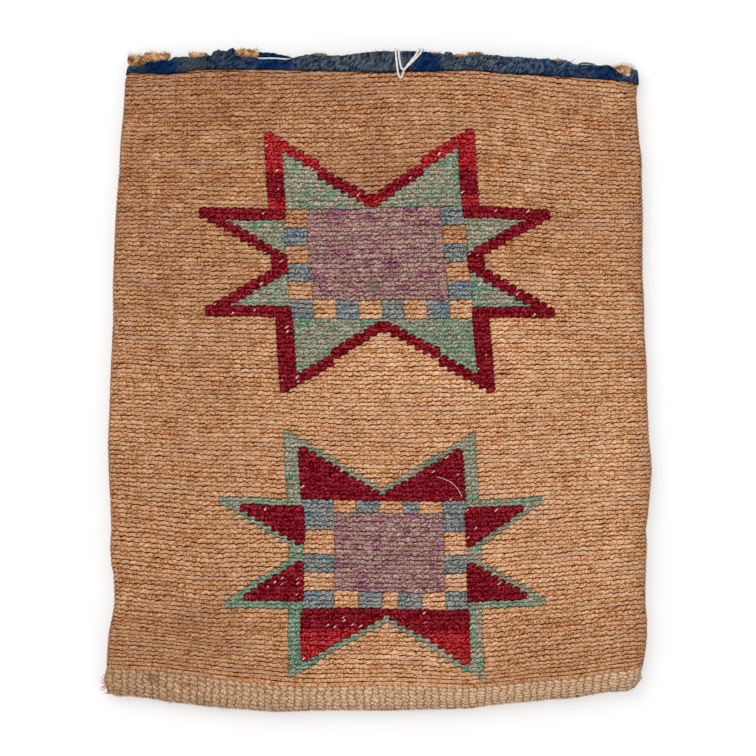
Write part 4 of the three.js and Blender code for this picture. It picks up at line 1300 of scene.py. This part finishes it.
class BAG_OT_frayed_rim(bpy.types.Operator):
    """Fibres that stand out of the worn rim, nap along the cloth's edge and loose threads"""

    bl_idname = "bag.frayed_rim"
    bl_label = "Frayed Rim"

    def execute(self, context):
        rng = np.random.default_rng(71)
        top = context.scene.bag_sizes.thickness / MM
        inner = top - RIM_INNER
        paths, thick, fray = rim_cords(rng, inner)
        cords = strands("rim_cord", (paths + PLAN_MIDDLE) * MM, thick * MM, 10, "rim_fibre", 0.12, 9)
        finish_piece(cords, "hemp")
        loose = curled(rng, *fray, 0.4) + PLAN_MIDDLE
        finish_piece(fibres("rim_fibres", loose, 0.11, 3, "rim_fibre"), "hemp")

        angle = np.linspace(0.2, 2 * math.pi - 0.1, 44)
        x, y, wide, tall = RIM_LOOP
        ring = np.stack((x + wide * np.cos(angle), y + tall * np.sin(angle), inner - 0.3 + 0 * angle), 1)
        twist = 0.4 * np.stack((0 * angle, np.sin(9 * angle), np.cos(9 * angle)), 1)
        plies = np.array((ring + twist, ring - twist)) + PLAN_MIDDLE
        finish_piece(strands("rim_loop", plies * MM, 0.00055, 8, "pale_fibre"), "hemp")

        many = NAP_FIBRES
        x = rng.uniform(*NAP_SPAN, many)
        front, back = read(FRONT_TOP, x), read(BACK_TOP, x)
        behind = (back > front) & (rng.uniform(0, 1, many) < 0.5)
        z = np.where(behind, rng.uniform(1.0, 3.2, many), top - rng.uniform(0, 3, many))
        roots = np.stack((x, np.where(behind, back, front) - 0.6 + rng.uniform(-0.4, 0.3, many), z), 1)
        aims = np.stack((rng.normal(0, 0.9, many), np.ones(many), rng.normal(0.2, 0.4, many)), 1)
        nap = curled(rng, roots, aims, rng.uniform(0.4, 1.3, many), 0.5) + PLAN_MIDDLE
        finish_piece(fibres("cloth_nap", nap, 0.07, 3, "blue_fibre"), "wool_cloth")

        for name, material, slot, radius, route in LOOSE_THREADS:
            finish_piece(strands(name, routed(route, top, 24), radius * MM, 6, material), slot)
        return {"FINISHED"}


class BAG_OT_string(bpy.types.Operator):
    """White string through the wall under the binding and over the rim"""

    bl_idname = "bag.string"
    bl_label = "String"

    def execute(self, context):
        sizes = context.scene.bag_sizes
        for name, node, route in STRING_TURNS:
            path = routed(route, sizes.thickness / MM, 140)
            piece = strands(name, path, sizes.string / 2, 12, "white_string", ply=0.16, turns=14)
            finish_piece(piece, "string", node)
        return {"FINISHED"}


def shown_ray(nodes):
    """One for rays that show the background, straight, in a gloss or through glass, and none for its light."""
    path = nodes.outputs(nodes.add("LightPath"))
    seen = nodes.math("MAXIMUM", path["Is Camera Ray"], path["Is Glossy Ray"])
    return nodes.math("MAXIMUM", seen, path["Is Transmission Ray"])


class BAG_OT_stage(bpy.types.Operator):
    """Pale floor, soft light and a camera that looks straight down"""

    bl_idname = "bag.stage"
    bl_label = "Stage"

    def execute(self, context):
        scene = context.scene
        scene.view_settings.view_transform = "Standard"
        nodes = new_material("floor")
        nodes.shade(
            Base_Color=(0.55, 0.55, 0.55, 1),
            Emission_Color=(1, 1, 1, 1),
            Emission_Strength=shown_ray(nodes) * FLOOR_GLOW,
            Roughness=1.0,
            Specular_IOR_Level=0.0,
        )
        corners = FLOOR_HALF * np.array(((-1, -1, 0), (1, -1, 0), (1, 1, 0), (-1, 1, 0))) - (0, 0, FLOOR_DROP)
        new_object("floor", corners, [np.array([[0, 1, 2, 3]])], ["floor"])
        world = bpy.data.worlds.new("studio")
        world.use_nodes = True
        nodes = Nodes(world.node_tree)
        light = world.node_tree.nodes["Background"].inputs
        strength = nodes.one(0, "MapRange", {0: shown_ray(nodes), 1: 0.0, 2: 1.0, 3: WORLD_LIGHT, 4: 1.0})
        nodes.put((1, 1, 1, 1), light["Color"])
        nodes.put(strength, light["Strength"])
        scene.world = world
        for name, spot, size, power in LAMPS:
            lamp = bpy.data.lights.new(name, "AREA")
            lamp.size, lamp.energy = size, power
            holder = bpy.data.objects.new(name, lamp)
            holder.location = spot
            holder.rotation_euler = (-Vector(spot)).to_track_quat("-Z", "Y").to_euler()
            scene.collection.objects.link(holder)
        lens = bpy.data.cameras.new("camera")
        lens.sensor_width = SENSOR
        lens.lens = SENSOR * (CAMERA_AT[2] - FACE_HEIGHT) / VIEW_WIDTH
        camera = bpy.data.objects.new("camera", lens)
        camera.location = CAMERA_AT
        scene.collection.objects.link(camera)
        scene.camera = camera
        return {"FINISHED"}


class BAG_PT_sidebar(bpy.types.Panel):
    """Sizes, colours and pieces of the bag"""

    bl_idname = "BAG_PT_sidebar"
    bl_label = "Cornhusk Bag"
    bl_space_type = "VIEW_3D"
    bl_region_type = "UI"
    bl_category = "Bag"

    def draw(self, context):
        for operator in OPERATORS:
            self.layout.operator(operator.bl_idname)
        for group in (context.scene.bag_sizes, context.scene.bag_colours):
            box = self.layout.box()
            for key in group.__annotations__:
                box.prop(group, key)


OPERATORS = (
    BAG_OT_stage,
    BAG_OT_husk_wall,
    BAG_OT_stars,
    BAG_OT_hemp_base,
    BAG_OT_rim_binding,
    BAG_OT_frayed_rim,
    BAG_OT_string,
)
CLASSES = (BagSizes, BagColours, *OPERATORS, BAG_PT_sidebar)


def register():
    for item in CLASSES:
        bpy.utils.register_class(item)
    bpy.types.Scene.bag_sizes = PointerProperty(type=BagSizes)
    bpy.types.Scene.bag_colours = PointerProperty(type=BagColours)


def unregister():
    del bpy.types.Scene.bag_colours
    del bpy.types.Scene.bag_sizes
    for item in reversed(CLASSES):
        bpy.utils.unregister_class(item)


def main():
    register()
    make_materials(bpy.context.scene.bag_colours)
    bpy.ops.bag.stage()
    bpy.ops.bag.husk_wall()
    bpy.ops.bag.stars()
    bpy.ops.bag.hemp_base()
    bpy.ops.bag.rim_binding()
    bpy.ops.bag.frayed_rim()
    bpy.ops.bag.string()
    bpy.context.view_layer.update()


if __name__ == "__main__":
    main()
